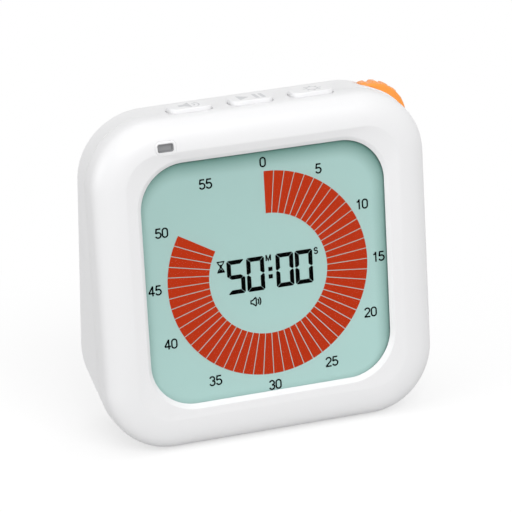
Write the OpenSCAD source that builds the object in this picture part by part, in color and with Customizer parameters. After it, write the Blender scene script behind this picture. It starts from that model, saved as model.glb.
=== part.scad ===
// Visual countdown timer: a rounded white case with a square reflective
// display, three top keys, a corner thumb wheel and a battery bay behind.
// Millimetres. X runs along the width, Y from front to back, Z up from the table.

/* [Case] */
// Width of the case
body_w = 90; // [88:0.5:100]
// Height of the case without feet and keys
body_h = 87.2; // [86:0.2:96]
// Depth of the case along its base
base_d = 36.4; // [36:0.2:42]
// Corner radius of the front shell
corner_r = 17.6; // [16:0.2:19]
// Lean of the back face, in degrees
back_lean = 8.5; // [6:0.5:9]
// Depth of the front shell, from its face to the parting line
front_d = 9.2; // [9:0.1:10]
// Width of the soft rounding round the front face
round_w = 9.6; // [8:0.2:10.5]
// Depth of the soft rounding round the front face
round_d = 4.4; // [3:0.1:5]
// Wall of both shells
wall = 2; // [1.6:0.1:2.2]
// Step by which the rear shell sits inside the front shell at the parting line
parting_step = 0.28; // [0.1:0.02:0.4]
// Inset of the rear shell's sides at its back
side_in = 1.36; // [0.8:0.1:2]
// Inset of the rear shell's top at its back
top_in = 0.2; // [0:0.1:0.6]
// Radius of the edge round the back face
back_edge_r = 4; // [3.2:0.1:5]
// Corner radius of the back face's two upper corners
back_upper_r = 17.7; // [16:0.2:19]
// Corner radius of the rear shell beside the thumb wheel
dial_corner_r = 16.3; // [15.8:0.1:16.8]
// Corner radius of the back face beside the thumb wheel
back_dial_r = 16; // [15:0.1:17]
// Corner radius of the back face's two lower corners
back_lower_r = 22.2; // [19:0.2:23]
// Reach of the rear shell's tongue into the front shell
tongue_d = 1.6; // [1:0.1:2]
// Thickness of that tongue
tongue_t = 0.9; // [0.7:0.1:1]

/* [Window] */
// Width of the face's border on each side of the window
side_border = 12.1; // [12:0.1:15]
// Height of the face's border above and below the window
top_border = 11.4; // [11.1:0.1:13.6]
// Corner radius of the window
window_r = 11.8; // [8:0.2:14]
// Bevel round the window
window_bevel = 0.9; // [0.5:0.1:1.1]
// Thickness of the lip round the window
lip_t = 1.5; // [1.3:0.1:1.8]
// Thickness of the clear window sheet
lens_t = 0.6; // [0.5:0.1:1]

/* [Display] */
// Reach of the display glass past each side of the window
glass_past_side = 1.3; // [0.8:0.1:1.6]
// Reach of the front display glass past the window's top and bottom
glass_past_top = 1.2; // [0.8:0.1:1.5]
// Thickness of each of the two display glasses
glass_t = 0.7; // [0.5:0.1:1.1]
// Height of the contact ledge below the front glass
ledge_h = 2.6; // [2:0.1:3]
// Thickness of each polariser film
film_t = 0.2; // [0.15:0.05:0.3]
// Thickness of the backlight's light guide
guide_t = 1.8; // [1.4:0.1:2.2]
// Outer radius of the countdown ring on the display
ring_outer_r = 27.2; // [24:0.2:28]
// Inner radius of the countdown ring on the display
ring_inner_r = 16.1; // [14:0.1:20]
// Minutes shown on the ring
ring_minutes = 50; // [1:1:60]
// Width of the gaps between the ring's segments
ring_gap = 0.25; // [0.15:0.05:0.5]
// Height of the display's digits
digit_h = 9; // [6:0.1:11]
// Width of one digit
digit_w = 4.7; // [3.6:0.1:5]
// Stroke width of a digit's bars
digit_bar = 0.85; // [0.5:0.05:1.1]
// Spacing between the two digits of a pair
digit_pitch = 5.3; // [5.1:0.1:5.8]
// Wall of the frame that holds the display stack
frame_wall = 1.1; // [0.8:0.1:1.2]

/* [Keys] */
// Width of a keycap
key_w = 11.2; // [9:0.2:12]
// Depth of a keycap, from front to back
key_d = 6.4; // [5:0.2:7]
// Corner radius of a keycap seen from above
key_r = 2.2; // [1:0.1:2.4]
// Height of a keycap above the case
key_up = 1.2; // [0.8:0.1:2]
// Spacing between the keys
key_pitch = 16.4; // [15.6:0.2:17]
// Clearance round a keycap in its hole
key_gap = 0.2; // [0.15:0.05:0.3]
// Travel of a key
key_travel = 0.5; // [0.3:0.05:0.6]

/* [Dial] */
// Radius of the thumb wheel over its lobes
dial_r = 9.9; // [9.6:0.1:10.1]
// Thickness of the thumb wheel
dial_t = 5; // [4:0.1:5.2]
// Number of lobes round the thumb wheel
dial_lobes = 20; // [12:1:24]
// Depth of the notches between the lobes
dial_notch = 0.35; // [0.2:0.05:0.5]
// Distance of the wheel's axis in from the case's side
dial_in_x = 9.9; // [9.7:0.1:10.4]
// Distance of the wheel's axis below the case's top
dial_in_z = 10.5; // [10.3:0.1:11]
// Distance of the wheel's rear face in front of the case's rear edge
dial_in_y = 17.6; // [17.4:0.1:18]
// Clearance round the wheel in its slot
dial_gap = 0.4; // [0.3:0.05:0.5]
// Radius of the wheel's shaft
shaft_r = 2; // [1.5:0.1:2.2]

/* [Power and sound] */
// Radius of a battery cell
cell_r = 5.25; // [5:0.05:5.25]
// Length of a battery cell without its nub
cell_len = 43.5; // [40:0.1:43.5]
// Number of battery cells
cell_count = 3; // [2:1:3]
// Clearance between one cell and the next
cell_gap = 0.5; // [0.3:0.1:0.6]
// Thickness of the battery door
door_t = 1.8; // [1.4:0.1:1.8]
// Width of the ledge that the battery door rests on
door_ledge = 1.1; // [0.8:0.1:1.3]
// Clearance round the battery door
door_gap = 0.25; // [0.2:0.05:0.35]
// Radius of the speaker
speaker_r = 10; // [8:0.2:10.4]
// Thickness of the speaker without its magnet
speaker_t = 2.6; // [2:0.1:3]

/* [Feet and screws] */
// Gap between the front shell and the table
base_gap = 0.6; // [0.4:0.1:1.2]
// Radius of a foot pad
pad_r = 4; // [3:0.1:4]
// Depth of the pocket that a foot pad is stuck in
pad_sunk = 0.4; // [0.2:0.1:0.6]
// Radius of the case screws' shanks
case_screw_r = 1.25; // [1:0.05:1.3]
// Radius of the small screws' shanks
board_screw_r = 0.9; // [0.7:0.05:1]

/* [Hidden] */
$fn = 64;

// General fits
skin = 0.01;        // thickness of the slices that a blended solid spans
touch = 0.05;       // clearance between parts stacked on each other
slip = 0.05;        // radial clearance of a pin or screw in its hole
seat_gap = 0.3;     // clearance of a board or frame in its pocket
cut = 1;            // how far a cutting solid runs past what it cuts
coarse = 32;        // roundness of the pieces that are blended
wire_sides = 8;     // sides of a wire
round_steps = 8;    // slices of the soft rounding

// Places of the case
half_w = body_w / 2;
half_h = body_h / 2;
front_y = -base_d / 2;
part_y = front_y + front_d;
mid_z = base_gap + half_h;
rear_half_w = half_w - parting_step;
rear_half_h = half_h - parting_step;
rear_r = corner_r - parting_step;
back_half_w = half_w - parting_step - side_in;
back_top_z = rear_half_h - top_in;
back_low_y = base_d - back_edge_r;
back_low_z = -rear_half_h + back_edge_r;
back_len = (back_top_z - back_edge_r - back_low_z) / cos(back_lean);

// Window and display glass
window_w = body_w - 2 * side_border;
window_h = body_h - 2 * top_border;
glass_w = window_w + 2 * glass_past_side;
glass_h = window_h + 2 * glass_past_top;

// Places of the display stack, as depths behind the front face
lens_d = lip_t;
ink_t = touch;
film_d = lens_d + lens_t + 2 * touch;
front_glass_d = film_d + film_t;
rear_glass_d = front_glass_d + glass_t;
rear_film_d = rear_glass_d + glass_t;
diffuser_d = rear_film_d + film_t;
diffuser_t = 0.2;
guide_d = diffuser_d + diffuser_t;
reflector_d = guide_d + guide_t;
reflector_t = 0.2;
board_gap = 0.5;
board_d = reflector_d + reflector_t + board_gap;
board_t = 1.2;
board_back_d = board_d + board_t;
frame_d = lens_d + lens_t + touch;
frame_lip = 0.5;
frame_w = glass_w + 2 * touch + 2 * frame_wall;
frame_top = glass_h / 2 + touch + frame_wall;
frame_low = -glass_h / 2 - ledge_h - touch - frame_wall;
frame_r = 2.4;
frame_mid_z = (frame_top + frame_low) / 2;
frame_h = frame_top - frame_low;
strip_in = 4;
strip_w = glass_w - 2 * strip_in;
strip_h = ledge_h - 0.6;
backlight_led_count = 4;
backlight_led_w = 3;
backlight_led_h = 0.9;
backlight_led_drop = 1;

// Places and strokes of what the display shows
minute_a = 6;
ring_z = -0.3;
digit_mid_x = 0.8;
pair_off = 6.65;
colon_gap = 2;
digit_mitre = 0.08;
// Lit bars of a five and of a nought, in the order top, upper right,
// lower right, bottom, lower left, upper left, middle
FIVE = [1, 0, 1, 1, 0, 1, 1];
NOUGHT = [1, 1, 1, 1, 1, 1, 0];

// Places of the keys
key_y = part_y;
key_top_z = mid_z + half_h + key_up;
key_roof_z = mid_z + back_top_z - wall;
key_ease = 0.5;
key_flange_t = 0.8;
key_flange_out = 0.7;
key_flange_gap = 0.25;
key_flange_z = key_roof_z - key_flange_gap - key_flange_t;
plunger_spare = 0.3;
plunger_h = key_travel + plunger_spare;
plunger_r = 1.1;
switch_h = 2;
switch_w = 5;
switch_d = 4;
key_board_t = 1;
switch_z = key_flange_z - touch - plunger_h - switch_h;
key_board_z = switch_z - key_board_t;
key_board_rim = 2;
key_board_w = 2 * key_pitch + switch_w + 2 * key_board_rim;
key_board_front = key_y - switch_d / 2 - key_board_rim / 2;
small_boss_r = board_screw_r + 1;
small_head_r = board_screw_r + 0.75;
small_head_t = 0.9;
key_screw_x = key_pitch / 2;
key_screw_y = key_y + key_d / 2 + key_flange_out + small_boss_r + 0.9;
key_screw_in = 3;
key_board_back = key_screw_y + key_board_rim;
bore_spare = 0.4;   // how much deeper a screw's bore is than the screw

// Places of the dial, from the case's centre where they end in off
dial_off_x = half_w - dial_in_x;
dial_off_z = half_h - dial_in_z;
dial_x = dial_off_x;
dial_z = mid_z + dial_off_z;
dial_back_y = front_y + base_d - dial_in_y;
dial_round = 1.25;
dial_band = 1.2;
dial_notch_r = 0.9;
encoder_gap = 0.4;
encoder_y = dial_back_y + encoder_gap;
encoder_t = 2;
encoder_w = 5.4;
encoder_board_y = encoder_y + encoder_t;
encoder_board_t = 0.8;
encoder_arm = dial_r + 3.2;
encoder_tab_r = 2.4;
encoder_screw_in = 1.6;
shaft_front = 0.8;
shaft_in = 1.6;
flat_share = 0.6;

// Places of the battery bay, in the frame of the leaning back face
bay_floor_t = 1.2;
bay_wall_t = 1.2;
contact_room = 3.2;
nub_len = 1;
nub_r = 1.9;
bay_w = cell_len + nub_len + 2 * contact_room;
bay_h = cell_count * 2 * cell_r + (cell_count + 1) * cell_gap;
door_low = 2;
bay_low = door_low + door_ledge;
door_w = bay_w + 2 * door_ledge;
door_h = bay_h + 2 * door_ledge;
door_in = back_edge_r - door_t;
ledge_y = door_in - touch;
cell_to_door = 0.5;
cell_to_floor = 0.3;
cell_y = ledge_y - cell_to_door - cell_r;
bay_floor = cell_y - cell_r - cell_to_floor;
door_r = 2.5;
hook_x = door_w / 4;
hook_w = 7;
hook_t = 1.2;
hook_reach = 1.65;
hook_tip = 1.2;
// innermost place that the hooks sweep as the door tips on its round edge
hook_sweep = norm([door_t / 2 + hook_reach, door_t / 2 + hook_tip]);
hook_room_y = back_edge_r - door_t / 2 - hook_sweep - seat_gap;
catch_w = 9;
catch_t = 1.2;
catch_len = 1.9;
catch_gap = 0.4;
scoop_r = 7;
scoop_w = 14;
scoop_depth = 0.8;
scoop_below = 5;
spring_wire_r = 0.3;
spring_turns = 3;
spring_root_in = 1.4;
plate_size = 8;
plate_t = 0.4;
tab_h = 3;
tab_out = 1.2;

// Places of the speaker, in the same frame
speaker_x = -13;
speaker_up = 3.4;
speaker_z = door_low + door_h + speaker_up + speaker_r;
speaker_back_gap = 0.5;
speaker_face = back_edge_r - wall - speaker_back_gap;
speaker_ring_t = 1.2;
speaker_fit = 0.15;
speaker_rim = 1.2;
basket_t = 0.5;
basket_r = 5;
cone_r = 4;
cone_t = 0.4;
magnet_r = 6;
magnet_t = 2;
grille_hole_r = 0.75;
grille_rings = 3;
grille_step = 2.6;

// Places of the case screws, from the case's centre
case_screw_x = half_w - 6.4;
case_screw_zs = [12, -25];
case_boss_r = case_screw_r + 1.35;
case_post_r = case_screw_r + 1.85;
case_head_r = case_screw_r + 0.95;
case_head_t = 1.4;
case_seat_t = 3;
case_screw_in = 5.4;
bit_gap = 0.15;
slot_share = 0.6;    // share of a head that its cross slot spans
slot_w = 0.5;

// Places of the main board and its screws, from the case's centre
board_w = frame_w + 1;
board_low = frame_low - 0.2;
board_top = frame_top;
board_screw_x = half_w - 5.8;
board_screw_zs = [22, -12];
board_screw_in = 3.2;
board_tab_r = 2.6;
board_neck_w = 4.4;

// Places of the indicator window, from the case's centre
indicator_beside = 3.8;  // distance from the nearest key
indicator_x = -key_pitch - key_w / 2 - indicator_beside;
indicator_z = half_h - 6.8;
indicator_w = 4;
indicator_h = 2.6;
indicator_r = 0.6;
rim_t = 0.85;
rim_up = 0.15;
indicator_face = 0.25;
indicator_flange_d = 3.4;
indicator_flange_out = 0.6;
indicator_flange_t = 0.8;
led_w = 3.2;
led_h = 1.6;
led_t = 1;
ear_w = 5.6;
ear_top = indicator_z + 2;

// Places of the foot pads, as distances from the middle and behind the face
pad_rim = 1.4;
pad_spots = [
  [half_w - corner_r - pad_r - pad_rim, front_d + pad_r + 1],
  [back_half_w - back_lower_r - pad_r - 0.2, base_d - back_edge_r - pad_r]
];

// Places of the plugs on the main board, from the case's centre
plug_w = 6;
plug_h = 4;
plug_t = 2.4;
battery_plug = [-27, 4];
speaker_plug = [-15, 4];
key_plug = [0, 26];
dial_plug = [26.5, 10];
plug_y = front_y + board_back_d;
plug_pin = 1.5;     // distance of a plug's two leads from its middle
chip_w = 12;
chip_t = 1.4;
chip_z = -8;
pin_count = 11;
pin_pitch = 0.8;
pin_w = 0.35;
pin_len = 1;
pin_t = 0.3;
// Crystal, capacitors and resistors, each as width, height, depth and place
component_list = [
  [3.8, 1.6, 1.3, 16, -8], [1.6, 0.8, 0.6, 16, -5], [1.6, 0.8, 0.6, 16, -11],
  [3.2, 1.6, 1.1, -13, -3], [3.2, 1.6, 1.1, -13, -8], [2, 1.2, 0.8, -13, -12],
  [2, 1.2, 0.8, 4, 3], [2, 1.2, 0.8, 8, 3], [1.6, 0.8, 0.6, 12, 3], [5, 5, 1.9, -26, -10]
];

lead_r = 0.55;
ribbon_t = 0.5;
ribbon_w = 5;

// ---- shared shapes ----

// A rounded rectangle with true arcs, centred on the origin
module rounded(w, h, r) {
  square([w - 2 * r, h], center = true);
  square([w, h - 2 * r], center = true);
  for (sx = [-1, 1], sz = [-1, 1])
    translate([sx * (w / 2 - r), sz * (h / 2 - r)]) circle(r = r);
}

// Stands a flat shape upright between two depths behind the front face
module upright(d0, d1, z = mid_z, x = 0)
  translate([x, front_y + d1, z]) rotate([90, 0, 0]) linear_extrude(d1 - d0) children();

// A round pin along Y between two depths, at a place from the case's centre
module pin_y(x, z, r, d0, d1)
  upright(d0, d1, mid_z + z, x) circle(r = r);

// The frame of the leaning back face: its origin lies in the lower edge's bend,
// Y points out of the back and Z runs up the slope
module on_back()
  translate([0, front_y + back_low_y, mid_z + back_low_z]) rotate([back_lean, 0, 0]) children();

// A flat shape stood up in that frame, between two distances out of the back
module back_upright(y0, y1, z = 0, x = 0)
  translate([x, y1, z]) rotate([90, 0, 0]) linear_extrude(y1 - y0) children();

// The front shell's outline, shrunk all round by an inset
module front_form(inset) {
  hull() {
    for (k = [0:round_steps - 1]) {
      a = 90 * k / round_steps;
      i = inset + round_w * (1 - sin(a));
      d = inset + round_d * (1 - cos(a));
      upright(d, d + skin) rounded(body_w - 2 * i, body_h - 2 * i, corner_r - i, $fn = coarse);
    }
    upright(inset + round_d, front_d)
      rounded(body_w - 2 * inset, body_h - 2 * inset, corner_r - inset, $fn = coarse);
  }
}

// The rear shell's outline, shrunk all round by an inset
module rear_form(inset, d0 = front_d) {
  hull() {
    upright(d0, d0 + skin) {
      rounded(2 * (rear_half_w - inset), 2 * (rear_half_h - inset), rear_r - inset, $fn = coarse);
      translate([rear_half_w - dial_corner_r, rear_half_h - dial_corner_r])
        circle(r = dial_corner_r - inset, $fn = coarse);
    }
    on_back() {
      for (sx = [-1, 1])
        back_corner(sx, back_lower_r, back_lower_r - back_edge_r, inset);
      back_corner(-1, back_upper_r, back_len - back_upper_r + back_edge_r, inset);
      back_corner(1, back_dial_r, back_len - back_dial_r + back_edge_r, inset);
    }
  }
}

// One rounded corner of the back face: a ring of the edge's radius
module back_corner(side, r, z, inset)
  translate([side * (back_half_w - r), 0, z]) rotate([90, 0, 0])
    rotate_extrude($fn = coarse) translate([r - back_edge_r, 0])
      circle(r = back_edge_r - inset, $fn = coarse);

// ---- case ----

module key_holes()
  for (k = [-1:1])
    translate([k * key_pitch, key_y, key_flange_z + key_flange_t + seat_gap / 2])
      linear_extrude(half_h)
        rounded(key_w + 2 * key_gap, key_d + 2 * key_gap, key_r + key_gap);

module window_cut() {
  upright(-cut, lip_t + cut) rounded(window_w, window_h, window_r);
  hull() {
    upright(-skin, 0)
      rounded(window_w + 2 * window_bevel, window_h + 2 * window_bevel,
              window_r + window_bevel, $fn = coarse);
    upright(window_bevel, window_bevel + skin)
      rounded(window_w, window_h, window_r, $fn = coarse);
  }
}

module indicator_hole(extra)
  rounded(indicator_w + 2 * extra, indicator_h + 2 * extra, indicator_r + extra);

module front_shell() {
  color("white") difference() {
    union() {
      difference() {
        front_form(0);
        front_form(wall);
        // pocket that the display frame drops into
        upright(lip_t, front_d + cut, mid_z + frame_mid_z)
          rounded(frame_w + 2 * seat_gap, frame_h + 2 * seat_gap, frame_r + seat_gap);
        // rebate for the rear shell's tongue
        upright(front_d - tongue_d - touch * 2, front_d + cut)
          rounded(body_w - 2 * (wall - tongue_t + touch - parting_step),
                  body_h - 2 * (wall - tongue_t + touch - parting_step),
                  corner_r - (wall - tongue_t + touch - parting_step));
      }
      // raised rim round the indicator
      upright(indicator_face - rim_up, wall, mid_z + indicator_z, indicator_x)
        indicator_hole(rim_t);
      // bosses that reach from the inside of the face
      intersection() {
        front_form(0);
        union() {
          for (sx = [-1, 1], z = case_screw_zs)
            pin_y(sx * case_screw_x, z, case_boss_r, wall / 2, front_d - touch);
          for (sx = [-1, 1], z = board_screw_zs)
            pin_y(sx * board_screw_x, z, small_boss_r, wall / 2, board_d);
        }
      }
    }
    window_cut();
    key_holes();
    upright(-cut, front_d, mid_z + indicator_z, indicator_x) indicator_hole(seat_gap / 3);
    for (sx = [-1, 1], z = case_screw_zs)
      pin_y(sx * case_screw_x, z, case_screw_r + slip, front_d - case_screw_in, front_d + cut);
    for (sx = [-1, 1], z = board_screw_zs)
      pin_y(sx * board_screw_x, z, board_screw_r + slip,
            board_d - board_screw_in - bore_spare, front_d);
  }
}

module tongue()
  upright(front_d - tongue_d, front_d + skin) difference() {
    rounded(2 * (rear_half_w - wall + tongue_t), 2 * (rear_half_h - wall + tongue_t),
            rear_r - wall + tongue_t);
    rounded(2 * (rear_half_w - wall), 2 * (rear_half_h - wall), rear_r - wall);
  }

// Everything inside the bay's outer walls, cut to the case's inside
module bay_block()
  back_upright(bay_floor - bay_floor_t, back_edge_r, bay_low + bay_h / 2)
    square([bay_w + 2 * bay_wall_t, bay_h + 2 * bay_wall_t], center = true);

module bay_room()
  back_upright(bay_floor, back_edge_r + cut, bay_low + bay_h / 2)
    square([bay_w, bay_h], center = true);

// The door's outline: round upper corners, and square ones at the hinge edge
module door_plan(extra) {
  rounded(door_w + 2 * extra, door_h + 2 * extra, door_r + extra);
  translate([-door_w / 2 - extra, -door_h / 2 - extra])
    square([door_w + 2 * extra, door_h / 2]);
}

module door_opening()
  back_upright(ledge_y, back_edge_r + cut, door_low + door_h / 2) door_plan(door_gap);

module grille_holes() {
  back_upright(0, back_edge_r + cut, speaker_z, speaker_x) circle(r = grille_hole_r);
  for (ring = [1:grille_rings], k = [0:6 * ring - 1]) {
    a = 60 * k / ring;
    back_upright(0, back_edge_r + cut,
                 speaker_z + ring * grille_step * sin(a),
                 speaker_x + ring * grille_step * cos(a))
      circle(r = grille_hole_r, $fn = coarse);
  }
}

module rear_shell() {
  color("white") difference() {
    union() {
      difference() {
        rear_form(0);
        rear_form(wall, front_d - cut);
      }
      tongue();
      intersection() {
        rear_form(touch);
        union() {
          on_back() {
            bay_block();
            // ring that the speaker is glued into
            back_upright(speaker_face - speaker_t, back_edge_r - wall / 2, speaker_z, speaker_x)
              circle(r = speaker_r + speaker_fit + speaker_ring_t);
          }
          for (sx = [-1, 1], z = case_screw_zs)
            pin_y(sx * case_screw_x, z, case_post_r, front_d, base_d);
          // bosses under the roof for the key board
          for (sx = [-1, 1])
            translate([sx * key_screw_x, key_screw_y, key_board_z + key_board_t])
              cylinder(r = small_boss_r, h = half_h);
          for (p = encoder_spots())
            pin_y(p[0], p[1], small_boss_r, encoder_board_y + encoder_board_t - front_y, base_d);
        }
      }
    }
    on_back() {
      bay_room();
      door_opening();
      grille_holes();
      back_upright(speaker_face - speaker_t - cut, back_edge_r - wall, speaker_z, speaker_x)
        circle(r = speaker_r + speaker_fit);
      for (sx = [-1, 1])
        translate([sx * hook_x - hook_w / 2 - seat_gap, hook_room_y, 0])
          cube([hook_w + 2 * seat_gap, door_in + seat_gap - hook_room_y, bay_low + cut]);
      // slots where the cell contacts come through the bay's side walls
      for (sx = [-1, 1], k = [0:cell_count - 1])
        translate([sx * (bay_w / 2 + bay_wall_t / 2), cell_y, cell_z(k)])
          cube([bay_wall_t + cut, plate_t + 2 * seat_gap, tab_h + 2 * touch], center = true);
    }
    key_holes();
    translate([dial_x, dial_back_y + dial_gap, dial_z]) rotate([90, 0, 0])
      cylinder(r = dial_r + dial_gap, h = dial_t + 2 * dial_gap);
    for (sx = [-1, 1], z = case_screw_zs) {
      pin_y(sx * case_screw_x, z, case_screw_r + slip, front_d - cut, base_d);
      pin_y(sx * case_screw_x, z, case_head_r + bit_gap, front_d + case_seat_t, base_d + cut);
    }
    for (sx = [-1, 1])
      translate([sx * key_screw_x, key_screw_y, key_board_z])
        cylinder(r = board_screw_r + slip, h = key_board_t + key_screw_in + bore_spare);
    for (p = encoder_spots())
      pin_y(p[0], p[1], board_screw_r + slip, encoder_board_y - front_y,
            encoder_board_y + encoder_board_t + encoder_screw_in + bore_spare / 2 - front_y);
    for (s = pad_spots, sx = [-1, 1])
      translate([sx * s[0], front_y + s[1], 0])
        cylinder(r = pad_r + slip, h = base_gap + parting_step + pad_sunk);
  }
}

function cell_z(k) = bay_low + cell_gap + cell_r + k * (2 * cell_r + cell_gap);
function encoder_spots() = [
  [dial_off_x - encoder_arm, dial_off_z],
  [dial_off_x, dial_off_z - encoder_arm]
];

module window_lens() {
  color("lightcyan", 0.4)
    upright(lens_d, lens_d + lens_t, mid_z + frame_mid_z) rounded(frame_w, frame_h, frame_r);
}

module indicator_lens() {
  color("gray") {
    upright(indicator_face, indicator_flange_d, mid_z + indicator_z, indicator_x)
      indicator_hole(0);
    upright(indicator_flange_d, indicator_flange_d + indicator_flange_t,
            mid_z + indicator_z, indicator_x)
      indicator_hole(indicator_flange_out);
    upright(indicator_flange_d + indicator_flange_t, board_d - led_t - touch * 2,
            mid_z + indicator_z, indicator_x)
      indicator_hole(0);
  }
}

// ---- display ----

// The red ring: one sector per minute, clockwise from the top
module ring_sectors() {
  difference() {
    circle(r = ring_outer_r, $fn = 180);
    circle(r = ring_inner_r, $fn = 180);
    for (k = [0:59])
      rotate(-minute_a * k) translate([-ring_gap / 2, 0]) square([ring_gap, ring_outer_r + cut]);
    for (k = [ring_minutes:1:59])
      rotate(-minute_a * k)
        polygon([[0, 0], [0, 2 * ring_outer_r],
                 [2 * ring_outer_r * sin(minute_a), 2 * ring_outer_r * cos(minute_a)]]);
  }
}

// One bar of a digit, with mitred ends, lying along X from the origin
module bar(len)
  polygon([[digit_mitre, 0], [digit_bar / 2 + digit_mitre, digit_bar / 2],
           [len - digit_bar / 2 - digit_mitre, digit_bar / 2], [len - digit_mitre, 0],
           [len - digit_bar / 2 - digit_mitre, -digit_bar / 2],
           [digit_bar / 2 + digit_mitre, -digit_bar / 2]]);

module digit(bars) {
  w = digit_w - digit_bar;
  h = (digit_h - digit_bar) / 2;
  starts = [[-w / 2, h, 0, w], [w / 2, 0, 90, h], [w / 2, -h, 90, h], [-w / 2, -h, 0, w],
            [-w / 2, -h, 90, h], [-w / 2, 0, 90, h], [-w / 2, 0, 0, w]];
  for (k = [0:6])
    if (bars[k] == 1)
      translate([starts[k][0], starts[k][1]]) rotate(starts[k][2]) bar(starts[k][3]);
}

module display_segments() {
  color("firebrick") upright(film_d - ink_t, film_d)
    translate([0, ring_z]) ring_sectors();
  color("black") upright(film_d - ink_t, film_d) translate([digit_mid_x, 0]) {
    for (s = [-1, 1]) {
      translate([s * pair_off - digit_pitch / 2, 0]) digit(s < 0 ? FIVE : NOUGHT);
      translate([s * pair_off + digit_pitch / 2, 0]) digit(NOUGHT);
      translate([0, s * colon_gap / 2]) square(digit_bar, center = true);
    }
  }
}

module stack_sheet(d, t, top = glass_h / 2, low = -glass_h / 2)
  upright(d, d + t, mid_z + (top + low) / 2) square([glass_w, top - low], center = true);

module display_front_film() { color("cadetblue") stack_sheet(film_d, film_t); }
module display_front_glass() { color("lightblue", 0.6) stack_sheet(front_glass_d, glass_t); }
module display_rear_glass() {
  color("lightblue", 0.6) stack_sheet(rear_glass_d, glass_t, glass_h / 2, -glass_h / 2 - ledge_h);
}
module display_rear_film() { color("silver") stack_sheet(rear_film_d, film_t); }
module backlight_diffuser() { color("ivory") stack_sheet(diffuser_d, diffuser_t); }
module backlight_guide() { color("aliceblue", 0.6) stack_sheet(guide_d, guide_t); }
module backlight_reflector() { color("white") stack_sheet(reflector_d, reflector_t); }

// White frame: a tray open to the front with a lip behind the window sheet
module display_frame() {
  color("whitesmoke") difference() {
    upright(frame_d, board_d, mid_z + frame_mid_z) rounded(frame_w, frame_h, frame_r);
    upright(frame_d - cut, film_d) translate([0, -frame_mid_z])
      rounded(glass_w - 2 * frame_lip, glass_h - 2 * frame_lip, window_r);
    upright(film_d, rear_glass_d, mid_z)
      square([glass_w + 2 * touch, glass_h + 2 * touch], center = true);
    upright(rear_glass_d, board_d + cut, mid_z - ledge_h / 2)
      square([glass_w + 2 * touch, glass_h + ledge_h + 2 * touch], center = true);
  }
}

module contact_strip() {
  color("dimgray")
    upright(rear_film_d, board_d, mid_z - glass_h / 2 - ledge_h / 2 - touch)
      square([strip_w, strip_h], center = true);
}

module backlight_leds() {
  color("khaki") for (k = [0:backlight_led_count - 1]) {
    x = (k - (backlight_led_count - 1) / 2) * glass_w / backlight_led_count;
    upright(reflector_d + reflector_t, board_d, mid_z + glass_h / 2 - backlight_led_drop, x)
      square([backlight_led_w, backlight_led_h], center = true);
  }
}

// ---- boards ----

module board_outline() {
  difference() {
    union() {
      translate([0, (board_top + board_low) / 2])
        square([board_w, board_top - board_low], center = true);
      for (sx = [-1, 1], z = board_screw_zs) {
        translate([sx * board_screw_x, z]) circle(r = board_tab_r);
        translate([sx * (board_screw_x + board_w / 2) / 2, z])
          square([board_screw_x - board_w / 2 + skin, board_neck_w], center = true);
      }
      translate([indicator_x, (board_top + ear_top) / 2])
        square([ear_w, ear_top - board_top + skin], center = true);
    }
    for (sx = [-1, 1], z = board_screw_zs)
      translate([sx * board_screw_x, z]) circle(r = board_screw_r + slip);
  }
}

module main_board() { color("seagreen") upright(board_d, board_back_d) board_outline(); }

module controller_chip() {
  color("black") upright(board_back_d + touch, board_back_d + chip_t, mid_z + chip_z)
    square(chip_w, center = true);
  color("silver") for (turn = [0:90:270], k = [0:pin_count - 1])
    upright(board_back_d, board_back_d + pin_t, mid_z + chip_z) rotate(turn)
      translate([(k - (pin_count - 1) / 2) * pin_pitch - pin_w / 2, chip_w / 2])
        square([pin_w, pin_len]);
}

module board_components() {
  color("tan") for (c = component_list)
    upright(board_back_d, board_back_d + c[2], mid_z + c[4], c[3])
      square([c[0], c[1]], center = true);
}

module indicator_led() {
  color("lightyellow") upright(board_d - led_t, board_d, mid_z + indicator_z, indicator_x)
    square([led_w, led_h], center = true);
}

module wire_connectors() {
  color("ivory") for (p = [battery_plug, speaker_plug, key_plug, dial_plug])
    upright(board_back_d, board_back_d + plug_t, mid_z + p[1], p[0])
      square([plug_w, plug_h], center = true);
}

// ---- keys ----

module key_board() {
  color("seagreen") difference() {
    translate([-key_board_w / 2, key_board_front, key_board_z])
      cube([key_board_w, key_board_back - key_board_front, key_board_t]);
    for (sx = [-1, 1])
      translate([sx * key_screw_x, key_screw_y, key_board_z - cut])
        cylinder(r = board_screw_r + slip, h = key_board_t + 2 * cut);
  }
}

module key_switches() {
  color("gainsboro") for (k = [-1:1])
    translate([k * key_pitch, key_y, switch_z]) difference() {
      translate([-switch_w / 2, -switch_d / 2, 0]) cube([switch_w, switch_d, switch_h]);
      translate([0, 0, switch_h - key_travel - touch]) cylinder(r = plunger_r + slip, h = switch_h);
    }
}

// The keycap's top edges are eased by a narrow round
module keycap(k) {
  color("white") translate([k * key_pitch, key_y, 0]) {
    translate([0, 0, key_flange_z])
      linear_extrude(key_top_z - key_ease - key_flange_z) rounded(key_w, key_d, key_r);
    translate([0, 0, key_flange_z]) linear_extrude(key_flange_t)
      rounded(key_w + 2 * key_flange_out, key_d + 2 * key_flange_out, key_r + key_flange_out);
    hull() for (s = [0:3]) {
      i = key_ease * (1 - cos(30 * s));
      translate([0, 0, key_top_z - key_ease + key_ease * sin(30 * s) - skin]) linear_extrude(skin)
        rounded(key_w - 2 * i, key_d - 2 * i, key_r - i, $fn = coarse);
    }
  }
}

module sound_key() keycap(-1);
module start_key() keycap(0);
module light_key() keycap(1);

// The moving button of a switch, which the keycap pushes
module plunger(k) {
  color("dimgray") translate([k * key_pitch, key_y, switch_z + switch_h - touch])
    cylinder(r = plunger_r, h = plunger_h + touch * 2);
}

module sound_plunger() plunger(-1);
module start_plunger() plunger(0);
module light_plunger() plunger(1);

// ---- dial ----

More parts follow.
